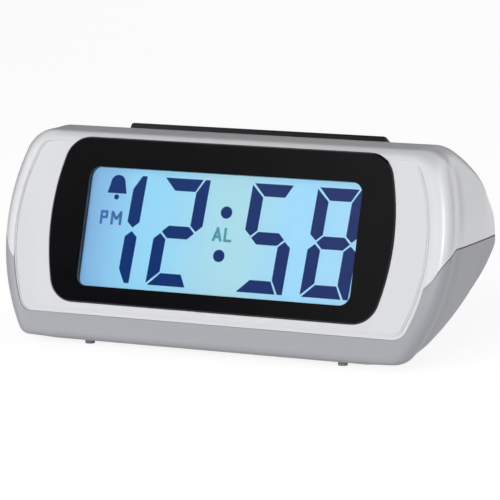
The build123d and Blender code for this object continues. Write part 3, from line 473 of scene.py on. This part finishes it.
def drawn_can(name):
    """Crystal's can, deep drawn aluminium."""
    return grained(
        name, "CDCDCD", size=0.0005, change=0.06, bump=0.06, roughness=0.28, stretch=(0.2, 1, 1),
        Metallic=1.0,
    )


TRACK_PITCH = 0.0024
MASK_GRAIN = 0.0004
MASK_RIPPLE = 0.0001


def solder_mask(name):
    """Boards, glass epoxy under green solder mask, with the tracks and the weave just showing."""
    material, tree, shader = new_material(name)
    place = add_node(tree, "ShaderNodeTexCoord")
    weave = add_node(
        tree, "ShaderNodeTexVoronoi", [(place.outputs["Object"], "Vector")],
        distance="MANHATTAN", in_Scale=1 / TRACK_PITCH, in_Randomness=0.85,
    )
    two_tone(tree, weave.outputs["Distance"], "1C6B35", change=0.35, shader=shader)
    fine = noise_at(tree, MASK_GRAIN, detail=2.0)
    add_node(
        tree, "ShaderNodeBump", [(fine, "Height")], [("Normal", shader.inputs["Normal"])],
        in_Strength=0.1, in_Distance=MASK_RIPPLE,
    )
    set_shader(shader, Roughness=0.28)
    return material


def moulded_white(name):
    """Display holder and sockets, white ABS: matt, slightly warm."""
    return grained(name, "E6E5DF", size=0.0006, change=0.03, bump=0.08, roughness=0.5)


def reflector_film(name):
    """Reflector and diffuser, white polyester film: matt, very even."""
    return grained(name, "F0F0EC", size=0.002, change=0.02, bump=0.02, roughness=0.6)


def clear_guide(name):
    """Light guide, clear acrylic block, polished, with a little haze."""
    return grained(
        name, "EAF6F8", size=0.01, change=0.02, bump=0.0, roughness=0.08, spread=0.03,
        Transmission_Weight=0.8, IOR=1.49,
    )


def crystal_glass(name):
    """Display cell, float glass with a faint green edge."""
    return grained(
        name, "DCEFEA", size=0.01, change=0.03, bump=0.0, roughness=0.05, spread=0.02,
        Transmission_Weight=0.8, IOR=1.52,
    )


def lamp_body(name):
    """Lamp bodies, warm white moulded resin."""
    return grained(name, "E9E6CE", size=0.0005, change=0.03, bump=0.05, roughness=0.4)


def connector_rubber(name):
    """Strip that joins the display to the board, grey silicone with fine conducting stripes."""
    return grained(name, "5A5A5D", size=0.0003, change=0.3, bump=0.1, roughness=0.7, stretch=(1, 0.1, 0.1))


def black_foam(name):
    """Gasket, black closed-cell foam: matt, with small pits."""
    return grained(name, "151516", size=0.0005, change=0.3, bump=0.5, roughness=0.9, Specular_IOR_Level=0.2)


def black_resin(name):
    """Chip, resistors and buzzer, black moulding resin: matt."""
    return grained(name, "202022", size=0.0004, change=0.15, bump=0.12, roughness=0.6)


def shrink_sleeve(name):
    """Capacitor, dark blue shrink sleeve: gloss."""
    return grained(name, "1E2644", size=0.002, change=0.1, bump=0.03, roughness=0.25)


def cell_sleeve(name):
    """Cells, plain printed sleeve in dark green without words: gloss film with a faint ripple."""
    return grained(name, "2F5B49", size=0.004, change=0.12, bump=0.03, roughness=0.25)


def red_insulation(name):
    """Battery wires, red PVC: soft gloss."""
    return grained(name, "A01818", size=0.001, change=0.08, bump=0.04, roughness=0.4)


def black_insulation(name):
    """Snooze and buzzer wires, black PVC: soft gloss."""
    return grained(name, "141414", size=0.001, change=0.15, bump=0.04, roughness=0.4)


def ribbon_insulation(name):
    """Ribbon cable, grey PVC over side-by-side wires."""
    return grained(
        name, "8C8E92", size=0.0005, change=0.12, bump=0.1, roughness=0.45, stretch=(1, 0.1, 0.1)
    )


INSIDE = {
    "light_diffuser": reflector_film,
    "reflector_sheet": reflector_film,
    "light_guide": clear_guide,
    "lcd_glass": crystal_glass,
    "lcd_rear_polariser": crystal_glass,
    "backlight_led_left": lamp_body,
    "backlight_led_right": lamp_body,
    "lcd_connector_strip": connector_rubber,
    "display_holder": moulded_white,
    "main_board": solder_mask,
    "key_board": solder_mask,
    "snooze_board": solder_mask,
    "board_screws": zinc_steel,
    "key_board_screws": zinc_steel,
    "snooze_board_screws": zinc_steel,
    "clock_chip": black_resin,
    "board_resistors": black_resin,
    "timing_crystal": drawn_can,
    "smoothing_capacitor": shrink_sleeve,
    "buzzer_housing": black_resin,
    "buzzer_disc": brass_sheet,
    "alarm_switch_housing": pressed_sheet,
    "snooze_switch": black_resin,
    "snooze_plunger": moulded_white,
    "time_switch": black_resin,
    "alarm_switch": black_resin,
    "hour_switch": black_resin,
    "minute_switch": black_resin,
    "time_plunger": moulded_white,
    "alarm_plunger": moulded_white,
    "hour_plunger": moulded_white,
    "minute_plunger": moulded_white,
    "front_battery": cell_sleeve,
    "rear_battery": cell_sleeve,
    "contact_plates": sprung_steel,
    "contact_springs": sprung_steel,
    "battery_wires": red_insulation,
    "snooze_wires": black_insulation,
    "buzzer_wires": black_insulation,
    "ribbon_cable": ribbon_insulation,
    "ribbon_sockets": moulded_white,
}


def finish_of(make):
    """Material made by this function, once, and named after it."""
    name = make.__name__
    return bpy.data.materials.get(name) or make(name)


def area_lamp(name, place, size, power, in_matt, in_gloss):
    """White rectangular lamp that points at the clock."""
    data = bpy.data.lights.new(name, "AREA")
    data.shape = "RECTANGLE"
    data.size, data.size_y = size
    data.energy = power
    lamp = link(bpy.data.objects.new(name, data))
    lamp.location = place
    lamp.rotation_euler = (LAMP_TARGET - Vector(place)).to_track_quat("-Z", "Y").to_euler()
    lamp.visible_diffuse = in_matt
    lamp.visible_glossy = in_gloss


CARD_BLACK = (0.01, 0.01, 0.012, 1)

# Where the mirrored card starts and ends to lighten, in metres, and how far: to its right, and to its top
CARD_RIGHT = (-0.66, -0.45, 0.28)
CARD_TOP = (0.47, 0.62, 0.18)


def dark_card(name):
    """Black card that darkens the rims of the case, as in a product photograph."""
    material, tree, shader = new_material(name)
    set_shader(shader, Base_Color=CARD_BLACK, Roughness=1.0)
    return material


def shaded_card(name):
    """Card that the polished bezel mirrors: black, a little lighter to the right and the top."""
    material, tree, shader = new_material(name)
    place = add_node(tree, "ShaderNodeTexCoord")
    split = add_node(tree, "ShaderNodeSeparateXYZ", [(place.outputs["Object"], "Vector")])
    across = add_node(
        tree, "ShaderNodeMapRange", [(split.outputs["X"], "Value")],
        in_1=CARD_RIGHT[0], in_2=CARD_RIGHT[1], in_3=0.0, in_4=CARD_RIGHT[2],
    )
    upward = add_node(
        tree, "ShaderNodeMapRange", [(split.outputs["Z"], "Value")],
        in_1=CARD_TOP[0], in_2=CARD_TOP[1], in_3=0.0, in_4=CARD_TOP[2],
    )
    add_node(
        tree, "ShaderNodeMath", [(across.outputs[0], 0), (upward.outputs[0], 1)],
        [(0, shader.inputs["Emission Strength"])], operation="ADD",
    )
    set_shader(shader, Base_Color=CARD_BLACK, Emission_Color=(1, 1, 1, 1), Roughness=1.0)
    return material


# Cards that only gloss sees, as in a product photograph: each has its direction, distance and half size.
# The first is what the bezel mirrors to the camera, the others darken the rims, the roof and the ridges.
CARDS = (
    ("mirror_card", shaded_card, (-0.4175, -0.833, 0.363), 1.5, 0.4),
    ("right_card", dark_card, (1.0, 0.55, 0.1), 1.2, 0.55),
    ("left_card", dark_card, (-1.0, 0.45, 0.2), 1.2, 0.55),
    ("top_card", dark_card, (-0.2, 0.9, 0.6), 1.3, 0.6),
    ("back_card", dark_card, (-0.42, 0.9, 0.05), 1.4, 0.9),
    ("overhead_card", dark_card, (0.0, -0.15, 1.0), 1.3, 0.7),
    ("front_card", dark_card, (0.14, -0.98, 0.0), 1.25, 0.35),
)

# Lamps: place, size, power in watts, and whether matt light and gloss have them. Gloss leaves out the two
# strong ones, which the flat roof would mirror as white patches. The edge lamp only draws the ridges' lines.
LAMPS = (
    ("key_lamp", (0.15, -1.6, 0.5), (1.3, 1.1), 18.0, True, False),
    ("fill_lamp", (-1.0, -1.2, 0.4), (0.9, 0.9), 7.0, True, True),
    ("side_lamp", (1.5, 0.35, 0.12), (0.8, 0.9), 15.5, True, False),
    ("edge_lamp", (1.14, -0.8, 0.58), (0.09, 0.5), 3.6, False, True),
    ("back_lamp", (-0.3, 1.6, 0.8), (1.0, 0.8), 2.0, True, True),
)
LAMP_TARGET = Vector((0, 0, 0.03))
FLOOR_RADIUS = 6.0
FLOOR_GREY = (0.3, 0.3, 0.3, 1)
FLOOR_GLOW = 0.84
WORLD_LIGHT = 0.23


def hung_card(name, make, place, half_size):
    """Square card that faces the clock and is seen only in its gloss."""
    mesh = bpy.data.meshes.new(name)
    work = bmesh.new()
    turn = place.to_track_quat("Z", "Y").to_matrix().to_4x4()
    bmesh.ops.create_grid(
        work, x_segments=1, y_segments=1, size=half_size, matrix=Matrix.Translation(place) @ turn
    )
    work.to_mesh(mesh)
    work.free()
    card = link(bpy.data.objects.new(name, mesh))
    dress(card, finish_of(make))
    card.visible_camera = False
    card.visible_diffuse = False
    card.visible_shadow = False


def seen_rays(tree):
    """One where the camera, gloss or a see-through piece looks, and zero for the light on the clock."""
    path = add_node(tree, "ShaderNodeLightPath")
    direct = add_node(
        tree, "ShaderNodeMath", [(path.outputs["Is Camera Ray"], 0), (path.outputs["Is Glossy Ray"], 1)],
        operation="MAXIMUM",
    )
    seen = add_node(
        tree, "ShaderNodeMath", [(direct.outputs[0], 0), (path.outputs["Is Transmission Ray"], 1)],
        operation="MAXIMUM",
    )
    return seen.outputs[0]


class CLOCK_OT_stage(bpy.types.Operator):
    """Camera, pale floor, soft lamps and white surroundings"""

    bl_idname = "clock.stage"
    bl_label = "Stage"

    def execute(self, context):
        scene = context.scene
        scene.view_settings.view_transform = "Standard"
        camera_data = bpy.data.cameras.new("camera")
        camera_data.lens = VIEW_LENS
        camera_data.sensor_width = SENSOR_WIDTH
        camera_data.clip_start = CLIP_START
        camera_data.clip_end = CLIP_END
        camera = link(bpy.data.objects.new("camera", camera_data))
        away = Vector((
            math.sin(VIEW_AZIMUTH) * math.cos(VIEW_ELEVATION),
            -math.cos(VIEW_AZIMUTH) * math.cos(VIEW_ELEVATION),
            math.sin(VIEW_ELEVATION),
        ))
        camera.location = VIEW_TARGET + away * VIEW_DISTANCE
        camera.rotation_euler = (-away).to_track_quat("-Z", "Y").to_euler()
        scene.camera = camera

        mesh = bpy.data.meshes.new("floor")
        work = bmesh.new()
        bmesh.ops.create_circle(work, cap_ends=True, segments=64, radius=FLOOR_RADIUS)
        work.to_mesh(mesh)
        work.free()
        floor = link(bpy.data.objects.new("floor", mesh))
        dress(floor, finish_of(white_floor))

        for name, make, toward, away_by, half_size in CARDS:
            hung_card(name, make, Vector(toward).normalized() * away_by, half_size)

        for lamp in LAMPS:
            area_lamp(*lamp)

        world = bpy.data.worlds.new("white_surroundings")
        world.use_nodes = True
        scene.world = world
        tree = world.node_tree
        add_node(
            tree, "ShaderNodeMapRange", [(seen_rays(tree), "Value")],
            [("Result", tree.nodes["Background"].inputs["Strength"])],
            in_3=WORLD_LIGHT, in_4=1.0,
        )
        tree.nodes["Background"].inputs["Color"].default_value = (1, 1, 1, 1)
        return {"FINISHED"}


def white_floor(name):
    """White sweep: it shows white to the camera and in gloss, and keeps a soft shadow."""
    material, tree, shader = new_material(name)
    tree.nodes.remove(shader)
    share = add_node(
        tree, "ShaderNodeMath", [(seen_rays(tree), 0)], operation="MULTIPLY", in_1=FLOOR_GLOW
    )
    matt = add_node(tree, "ShaderNodeBsdfDiffuse", in_Color=FLOOR_GREY)
    glow = add_node(tree, "ShaderNodeEmission", [(share.outputs[0], "Strength")])
    both = add_node(tree, "ShaderNodeAddShader", [(matt.outputs[0], 0), (glow.outputs[0], 1)])
    tree.links.new(both.outputs[0], tree.nodes["Material Output"].inputs["Surface"])
    return material


class CLOCK_OT_case(bpy.types.Operator):
    """Upper and lower case, lacquered and grained"""

    bl_idname = "clock.case"
    bl_label = "Case"

    def execute(self, context):
        stand_in("top_shell", "upper_case", finish_of(silver_lacquer))
        stand_in("bottom_shell", "lower_case", finish_of(silver_grey_plastic))
        return {"FINISHED"}


class CLOCK_OT_front(bpy.types.Operator):
    """Polished bezel, clear window and its gasket"""

    bl_idname = "clock.front"
    bl_label = "Bezel and window"

    def execute(self, context):
        stand_in("bezel_frame", "bezel", finish_of(polished_black))
        stand_in("display_lens", "window", finish_of(clear_acrylic))
        repaint("lens_gasket", finish_of(black_foam))
        return {"FINISHED"}


def rise_of_point(point):
    """Rise of a point up the leaning front, in metres."""
    return (point.y - FRONT_BACK) * math.sin(LEAN) + point.z * math.cos(LEAN)


def islands_of(work):
    """Lists of faces that hang together."""
    seen = set()
    groups = []
    for start in work.faces:
        if start in seen:
            continue
        seen.add(start)
        faces = [start]
        for face in faces:
            for edge in face.edges:
                for other in edge.link_faces:
                    if other not in seen:
                        seen.add(other)
                        faces.append(other)
        groups.append(faces)
    return groups


# Left of MARK_EDGE and below BELL_RISE are the left marks; the alarm letters are near the middle
MARK_EDGE = -0.033
BELL_RISE = 0.046
ALARM_MARK_HALF = 0.006
ALARM_MARK_RISE = 0.0386
ALARM_MARK_REACH = 0.0035
FIGURE_INK = 0
LEFT_MARK_INK = 1
ALARM_MARK_INK = 2


def ink_index(middle):
    """Which ink a mark of the display has, by the place of its middle."""
    rise = rise_of_point(middle)
    if middle.x < MARK_EDGE and rise < BELL_RISE:
        return LEFT_MARK_INK
    if abs(middle.x) < ALARM_MARK_HALF and abs(rise - ALARM_MARK_RISE) < ALARM_MARK_REACH:
        return ALARM_MARK_INK
    return FIGURE_INK


class CLOCK_OT_display(bpy.types.Operator):
    """Lit film and dark figures of the display"""

    bl_idname = "clock.display"
    bl_label = "Display"

    def execute(self, context):
        repaint("lcd_front_polariser", finish_of(lit_film))
        figures = stand_in("lcd_segments", "figures", finish_of(figure_ink))
        figures.data.materials.append(finish_of(blue_mark_ink))
        figures.data.materials.append(finish_of(teal_mark_ink))
        work = bmesh.new()
        work.from_mesh(figures.data)
        for faces in islands_of(work):
            corners = [vert.co for face in faces for vert in face.verts]
            index = ink_index(sum(corners, Vector()) / len(corners))
            for face in faces:
                face.material_index = index
        work.to_mesh(figures.data)
        work.free()
        return {"FINISHED"}


def mark_ink(name, colour):
    """Thin marks, where the light behind washes the ink to a paler colour."""
    material, tree, shader = new_material(name)
    grain = noise_at(tree, FILM_GRAIN, detail=2.0)
    two_tone(tree, grain, colour, 0.06, shader)
    add_node(
        tree, "ShaderNodeMapRange", [(grain, "Value")], [("Result", shader.inputs["Roughness"])],
        in_3=INK_ROUGHNESS[0], in_4=INK_ROUGHNESS[1],
    )
    set_shader(shader, Emission_Color=hex_rgb(colour), Emission_Strength=MARK_GLOW)
    return material


def blue_mark_ink(name):
    """Marks at the left of the display, middle blue."""
    return mark_ink(name, bpy.context.scene.clock_colours.mark_blue)


def teal_mark_ink(name):
    """Alarm letters between the dots, teal."""
    return mark_ink(name, bpy.context.scene.clock_colours.mark_teal)


class CLOCK_OT_snooze_bar(bpy.types.Operator):
    """Long satin bar on the roof"""

    bl_idname = "clock.snooze_bar"
    bl_label = "Snooze bar"

    def execute(self, context):
        stand_in("snooze_bar", "snooze_key", finish_of(satin_black))
        return {"FINISHED"}


class CLOCK_OT_keys(bpy.types.Operator):
    """Round rear keys and the alarm slide's knob"""

    bl_idname = "clock.keys"
    bl_label = "Rear keys"

    def execute(self, context):
        for job in ("time", "alarm", "hour", "minute"):
            stand_in(job + "_button", job + "_key", finish_of(dark_key_plastic))
        stand_in("alarm_switch_knob", "slide_knob", finish_of(satin_black))
        return {"FINISHED"}


def tree_with(name, inputs):
    """Geometry node tree with named inputs; returns tree, input node and output node."""
    tree = bpy.data.node_groups.new(name, "GeometryNodeTree")
    tree.interface.new_socket("Geometry", in_out="INPUT", socket_type="NodeSocketGeometry")
    for label, kind in inputs:
        tree.interface.new_socket(label, in_out="INPUT", socket_type=kind)
    tree.interface.new_socket("Geometry", in_out="OUTPUT", socket_type="NodeSocketGeometry")
    start = tree.nodes.new("NodeGroupInput")
    end = tree.nodes.new("NodeGroupOutput")
    return tree, start, end


def grown(name, tree, values, mesh):
    """Plain mesh object from a node tree run on a mesh."""
    piece = link(bpy.data.objects.new(name, mesh))
    modifier = piece.modifiers.new("make", "NODES")
    modifier.node_group = tree
    for item in tree.interface.items_tree:
        if item.in_out == "INPUT" and item.name in values:
            modifier[item.identifier] = values[item.name]
    context = bpy.context
    context.view_layer.update()
    graph = context.evaluated_depsgraph_get()
    result = bpy.data.meshes.new_from_object(piece.evaluated_get(graph), depsgraph=graph)
    piece.modifiers.remove(modifier)
    result.name = name
    piece.data = result
    if not result.polygons:
        raise RuntimeError(name + " came out empty")
    return piece


# Shares of a screw head's height and radius, and sides of its round forms
RIM_SHARE = 0.55
CROWN_SHARE = 0.45
CROWN_NARROW = 0.68
RECESS_REACH = 1.15
HEAD_SIDES = 40
SHANK_SIDES = 24
RIB_SIDES = 16


def screws_tree():
    """Pan head screws with a cross recess, one at each point, turned by the point's attribute."""
    tree, start, end = tree_with("pan_head_screws", [
        ("Head radius", "NodeSocketFloat"), ("Head height", "NodeSocketFloat"),
        ("Shank radius", "NodeSocketFloat"), ("Shank length", "NodeSocketFloat"),
        ("Recess width", "NodeSocketFloat"), ("Material", "NodeSocketMaterial"),
    ])
    given = start.outputs
    rim_height = add_node(
        tree, "ShaderNodeMath", [(given["Head height"], 0)], operation="MULTIPLY", in_1=RIM_SHARE,
    )
    crown_height = add_node(
        tree, "ShaderNodeMath", [(given["Head height"], 0)], operation="MULTIPLY", in_1=CROWN_SHARE,
    )
    crown_radius = add_node(
        tree, "ShaderNodeMath", [(given["Head radius"], 0)], operation="MULTIPLY", in_1=CROWN_NARROW,
    )
    rim = add_node(
        tree, "GeometryNodeMeshCylinder",
        [(given["Head radius"], "Radius"), (rim_height.outputs[0], "Depth")], in_Vertices=HEAD_SIDES,
    )
    sunk = add_node(
        tree, "ShaderNodeMath", [(given["Head height"], 0), (rim_height.outputs[0], 1)],
        operation="SUBTRACT",
    )
    middle = add_node(
        tree, "ShaderNodeMath", [(rim_height.outputs[0], 0), (sunk.outputs[0], 2)],
        operation="MULTIPLY_ADD", in_1=0.5,
    )
    drop = add_node(tree, "ShaderNodeMath", [(middle.outputs[0], 0)], operation="MULTIPLY", in_1=-1.0)
    rim_place = add_node(tree, "ShaderNodeCombineXYZ", [(drop.outputs[0], "Z")])
    rim_down = add_node(
        tree, "GeometryNodeTransform",
        [(rim.outputs["Mesh"], "Geometry"), (rim_place.outputs[0], "Translation")],
    )
    crown = add_node(
        tree, "GeometryNodeMeshCone",
        [(crown_radius.outputs[0], "Radius Top"), (given["Head radius"], "Radius Bottom"),
         (crown_height.outputs[0], "Depth")], in_Vertices=HEAD_SIDES,
    )
    crown_drop = add_node(
        tree, "ShaderNodeMath", [(crown_height.outputs[0], 0)], operation="MULTIPLY", in_1=-1.0,
    )
    crown_place = add_node(tree, "ShaderNodeCombineXYZ", [(crown_drop.outputs[0], "Z")])
    crown_down = add_node(
        tree, "GeometryNodeTransform",
        [(crown.outputs["Mesh"], "Geometry"), (crown_place.outputs[0], "Translation")],
    )
    head = add_node(tree, "GeometryNodeMeshBoolean", operation="UNION")
    tree.links.new(rim_down.outputs[0], head.inputs["Mesh 2"])
    tree.links.new(crown_down.outputs[0], head.inputs["Mesh 2"])
    bar_length = add_node(
        tree, "ShaderNodeMath", [(given["Head radius"], 0)], operation="MULTIPLY", in_1=RECESS_REACH,
    )
    bar_size = add_node(
        tree, "ShaderNodeCombineXYZ",
        [(bar_length.outputs[0], "X"), (given["Recess width"], "Y"), (given["Head height"], "Z")],
    )
    bar = add_node(tree, "GeometryNodeMeshCube", [(bar_size.outputs[0], "Size")])
    other_bar = add_node(
        tree, "GeometryNodeTransform", [(bar.outputs["Mesh"], "Geometry")],
        in_Rotation=(0, 0, math.pi / 2),
    )
    cross = add_node(tree, "GeometryNodeMeshBoolean", operation="UNION")
    tree.links.new(bar.outputs["Mesh"], cross.inputs["Mesh 2"])
    tree.links.new(other_bar.outputs[0], cross.inputs["Mesh 2"])
    cut = add_node(
        tree, "GeometryNodeMeshBoolean",
        [(head.outputs["Mesh"], "Mesh 1"), (cross.outputs["Mesh"], "Mesh 2")], operation="DIFFERENCE",
    )
    shank = add_node(
        tree, "GeometryNodeMeshCylinder",
        [(given["Shank radius"], "Radius"), (given["Shank length"], "Depth")], in_Vertices=SHANK_SIDES,
    )
    shank_drop = add_node(
        tree, "ShaderNodeMath", [(given["Shank length"], 0)], operation="MULTIPLY", in_1=-0.5,
    )
    shank_low = add_node(
        tree, "ShaderNodeMath", [(shank_drop.outputs[0], 0), (given["Head height"], 1)],
        operation="SUBTRACT",
    )
    shank_place = add_node(tree, "ShaderNodeCombineXYZ", [(shank_low.outputs[0], "Z")])
    shank_down = add_node(
        tree, "GeometryNodeTransform",
        [(shank.outputs["Mesh"], "Geometry"), (shank_place.outputs[0], "Translation")],
    )
    whole = add_node(tree, "GeometryNodeJoinGeometry")
    tree.links.new(cut.outputs["Mesh"], whole.inputs[0])
    tree.links.new(shank_down.outputs[0], whole.inputs[0])
    turn = add_node(tree, "GeometryNodeInputNamedAttribute", data_type="FLOAT_VECTOR", in_Name="turn")
    placed = add_node(
        tree, "GeometryNodeInstanceOnPoints",
        [(given["Geometry"], "Points"), (whole.outputs[0], "Instance"),
         (turn.outputs["Attribute"], "Rotation")],
    )
    real = add_node(tree, "GeometryNodeRealizeInstances", [(placed.outputs[0], 0)])
    add_node(
        tree, "GeometryNodeSetMaterial",
        [(real.outputs[0], "Geometry"), (given["Material"], "Material")],
        [("Geometry", end.inputs["Geometry"])],
    )
    return tree


SCREW_HEAD_HEIGHT = 0.0018
SCREW_SHANK_RADIUS = 0.0013
REAR_SCREW_EDGE = 0.059
REAR_SHANK_LENGTH = 0.018
BASE_SHANK_LENGTH = 0.020
SCREW_TOP_REACH = 1e-5
REAR_AXIS = Vector((0, math.cos(LEAN), -math.sin(LEAN)))
DOWN = Vector((0, 0, -1))


def screw_top(corners, axis):
    """Middle of a frame screw's outer face."""
    low = Vector(min(point[n] for point in corners) for n in range(3))
    high = Vector(max(point[n] for point in corners) for n in range(3))
    top = max(point.dot(axis) for point in corners)
    centre = (low + high) / 2
    centre = centre + axis * (top - centre.dot(axis))
    if axis is REAR_AXIS:
        edge = [point for point in corners if point.dot(axis) > top - SCREW_TOP_REACH]
        centre.z = (min(point.z for point in edge) + max(point.z for point in edge)) / 2
        centre.y = (min(point.y for point in edge) + max(point.y for point in edge)) / 2
    return centre


class CLOCK_OT_screws(bpy.types.Operator):
    """Case screws with cross recesses, where the frame has them"""

    bl_idname = "clock.screws"
    bl_label = "Case screws"

    def execute(self, context):
        work = bmesh.new()
        work.from_mesh(NODES["case_screws"].data)
        bmesh.ops.remove_doubles(work, verts=work.verts, dist=MERGE_REACH)
        found = {"rear": [], "base": []}
        for faces in islands_of(work):
            corners = [vert.co.copy() for face in faces for vert in face.verts]
            at_rear = abs(corners[0].x) > REAR_SCREW_EDGE
            top = screw_top(corners, REAR_AXIS if at_rear else DOWN)
            found["rear" if at_rear else "base"].append(top)
        work.free()
        if len(found["rear"]) != 2 or len(found["base"]) != 2:
            raise RuntimeError("the case screws were not found")
        tree = screws_tree()
        sizes = context.scene.clock_sizes
        for place, axis, length in (
            ("rear", REAR_AXIS, REAR_SHANK_LENGTH), ("base", DOWN, BASE_SHANK_LENGTH),
        ):
            mesh = bpy.data.meshes.new("screw_points")
            mesh.from_pydata([point[:] for point in found[place]], [], [])
            turn = mesh.attributes.new("turn", "FLOAT_VECTOR", "POINT")
            angle = axis.to_track_quat("Z", "Y").to_euler()
            for item in turn.data:
                item.vector = angle[:]
            screws = grown(place + "_screws", tree, {
                "Head radius": sizes.screw_head, "Head height": SCREW_HEAD_HEIGHT,
                "Shank radius": SCREW_SHANK_RADIUS, "Shank length": length,
                "Recess width": sizes.recess_width, "Material": finish_of(zinc_steel),
            }, mesh)
            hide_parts("case_screws")
            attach(screws, "case")
        return {"FINISHED"}


def ribs_tree():
    """Row of round grip ribs across a door."""
    tree, start, end = tree_with("grip_ribs", [
        ("Count", "NodeSocketInt"), ("Pitch", "NodeSocketFloat"), ("Place", "NodeSocketVector"),
        ("Length", "NodeSocketFloat"), ("Radius", "NodeSocketFloat"), ("Material", "NodeSocketMaterial"),
    ])
    given = start.outputs
    step = add_node(tree, "ShaderNodeCombineXYZ", [(given["Pitch"], "Y")])
    line = add_node(
        tree, "GeometryNodeMeshLine", [(given["Count"], "Count"), (step.outputs[0], "Offset")],
    )
    path = add_node(tree, "GeometryNodeCurvePrimitiveLine")
    half = add_node(tree, "ShaderNodeMath", [(given["Length"], 0)], operation="MULTIPLY", in_1=0.5)
    minus = add_node(tree, "ShaderNodeMath", [(half.outputs[0], 0)], operation="MULTIPLY", in_1=-1.0)
    left = add_node(tree, "ShaderNodeCombineXYZ", [(minus.outputs[0], "X")])
    right = add_node(tree, "ShaderNodeCombineXYZ", [(half.outputs[0], "X")])
    tree.links.new(left.outputs[0], path.inputs["Start"])
    tree.links.new(right.outputs[0], path.inputs["End"])
    ring = add_node(
        tree, "GeometryNodeCurvePrimitiveCircle", [(given["Radius"], "Radius")], in_Resolution=RIB_SIDES,
    )
    rib = add_node(
        tree, "GeometryNodeCurveToMesh", [(path.outputs[0], "Curve"), (ring.outputs[0], "Profile Curve")],
        in_Fill_Caps=True,
    )
    placed = add_node(
        tree, "GeometryNodeInstanceOnPoints",
        [(line.outputs["Mesh"], "Points"), (rib.outputs[0], "Instance")],
    )
    moved = add_node(
        tree, "GeometryNodeTransform", [(placed.outputs[0], "Geometry"), (given["Place"], "Translation")],
    )
    real = add_node(tree, "GeometryNodeRealizeInstances", [(moved.outputs[0], 0)])
    add_node(
        tree, "GeometryNodeSetMaterial",
        [(real.outputs[0], "Geometry"), (given["Material"], "Material")],
        [("Geometry", end.inputs["Geometry"])],
    )
    return tree


RIB_LENGTH = 0.018
RIB_RADIUS = 0.0004
RIB_MARGIN = 0.004


class CLOCK_OT_base(bpy.types.Operator):
    """Rubber feet, battery door and its grip ribs"""

    bl_idname = "clock.base"
    bl_label = "Feet and battery door"

    def execute(self, context):
        sizes = context.scene.clock_sizes
        stand_in("front_feet", "feet_in_front", finish_of(case_rubber))
        stand_in("rear_feet", "feet_behind", finish_of(case_rubber))
        stand_in("battery_door", "cell_door", finish_of(silver_grey_plastic))
        low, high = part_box("battery_door")
        first = high.y - RIB_MARGIN - sizes.rib_pitch * (sizes.rib_count - 1)
        ribs = grown("door_ribs", ribs_tree(), {
            "Count": sizes.rib_count, "Pitch": sizes.rib_pitch,
            "Place": (0.0, first, FOOT_HEIGHT), "Length": RIB_LENGTH, "Radius": RIB_RADIUS,
            "Material": finish_of(silver_grey_plastic),
        }, bpy.data.meshes.new("rib_start"))
        for face in ribs.data.polygons:
            face.use_smooth = True
        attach(ribs, "battery_door")
        return {"FINISHED"}


class CLOCK_OT_inside(bpy.types.Operator):
    """Finishes of the boards, switches, cells and wires inside"""

    bl_idname = "clock.inside"
    bl_label = "Inside"

    def execute(self, context):
        for node, make in INSIDE.items():
            repaint(node, finish_of(make))
        return {"FINISHED"}


class CLOCK_PT_panel(bpy.types.Panel):
    """Buttons that make the clock, and its colours and sizes"""

    bl_label = "Alarm clock"
    bl_idname = "CLOCK_PT_panel"
    bl_space_type = "VIEW_3D"
    bl_region_type = "UI"
    bl_category = "Alarm clock"

    def draw(self, context):
        for operator in OPERATORS:
            self.layout.operator(operator.bl_idname)
        for group in (context.scene.clock_colours, context.scene.clock_sizes):
            for key in group.__annotations__:
                self.layout.prop(group, key)


OPERATORS = (
    CLOCK_OT_stage, CLOCK_OT_case, CLOCK_OT_front, CLOCK_OT_display, CLOCK_OT_snooze_bar,
    CLOCK_OT_keys, CLOCK_OT_screws, CLOCK_OT_base, CLOCK_OT_inside,
)
CLASSES = (ClockColours, ClockSizes, *OPERATORS, CLOCK_PT_panel)


def register():
    """Classes and the scene's two groups of settings."""
    for cls in CLASSES:
        bpy.utils.register_class(cls)
    bpy.types.Scene.clock_colours = bpy.props.PointerProperty(type=ClockColours)
    bpy.types.Scene.clock_sizes = bpy.props.PointerProperty(type=ClockSizes)


def unregister():
    """Takes away what register adds."""
    del bpy.types.Scene.clock_colours
    del bpy.types.Scene.clock_sizes
    for cls in reversed(CLASSES):
        bpy.utils.unregister_class(cls)


def main():
    """The whole clock."""
    register()
    bpy.ops.clock.stage()
    bpy.ops.clock.case()
    bpy.ops.clock.front()
    bpy.ops.clock.display()
    bpy.ops.clock.snooze_bar()
    bpy.ops.clock.keys()
    bpy.ops.clock.screws()
    bpy.ops.clock.base()
    bpy.ops.clock.inside()


if __name__ == "__main__":
    main()
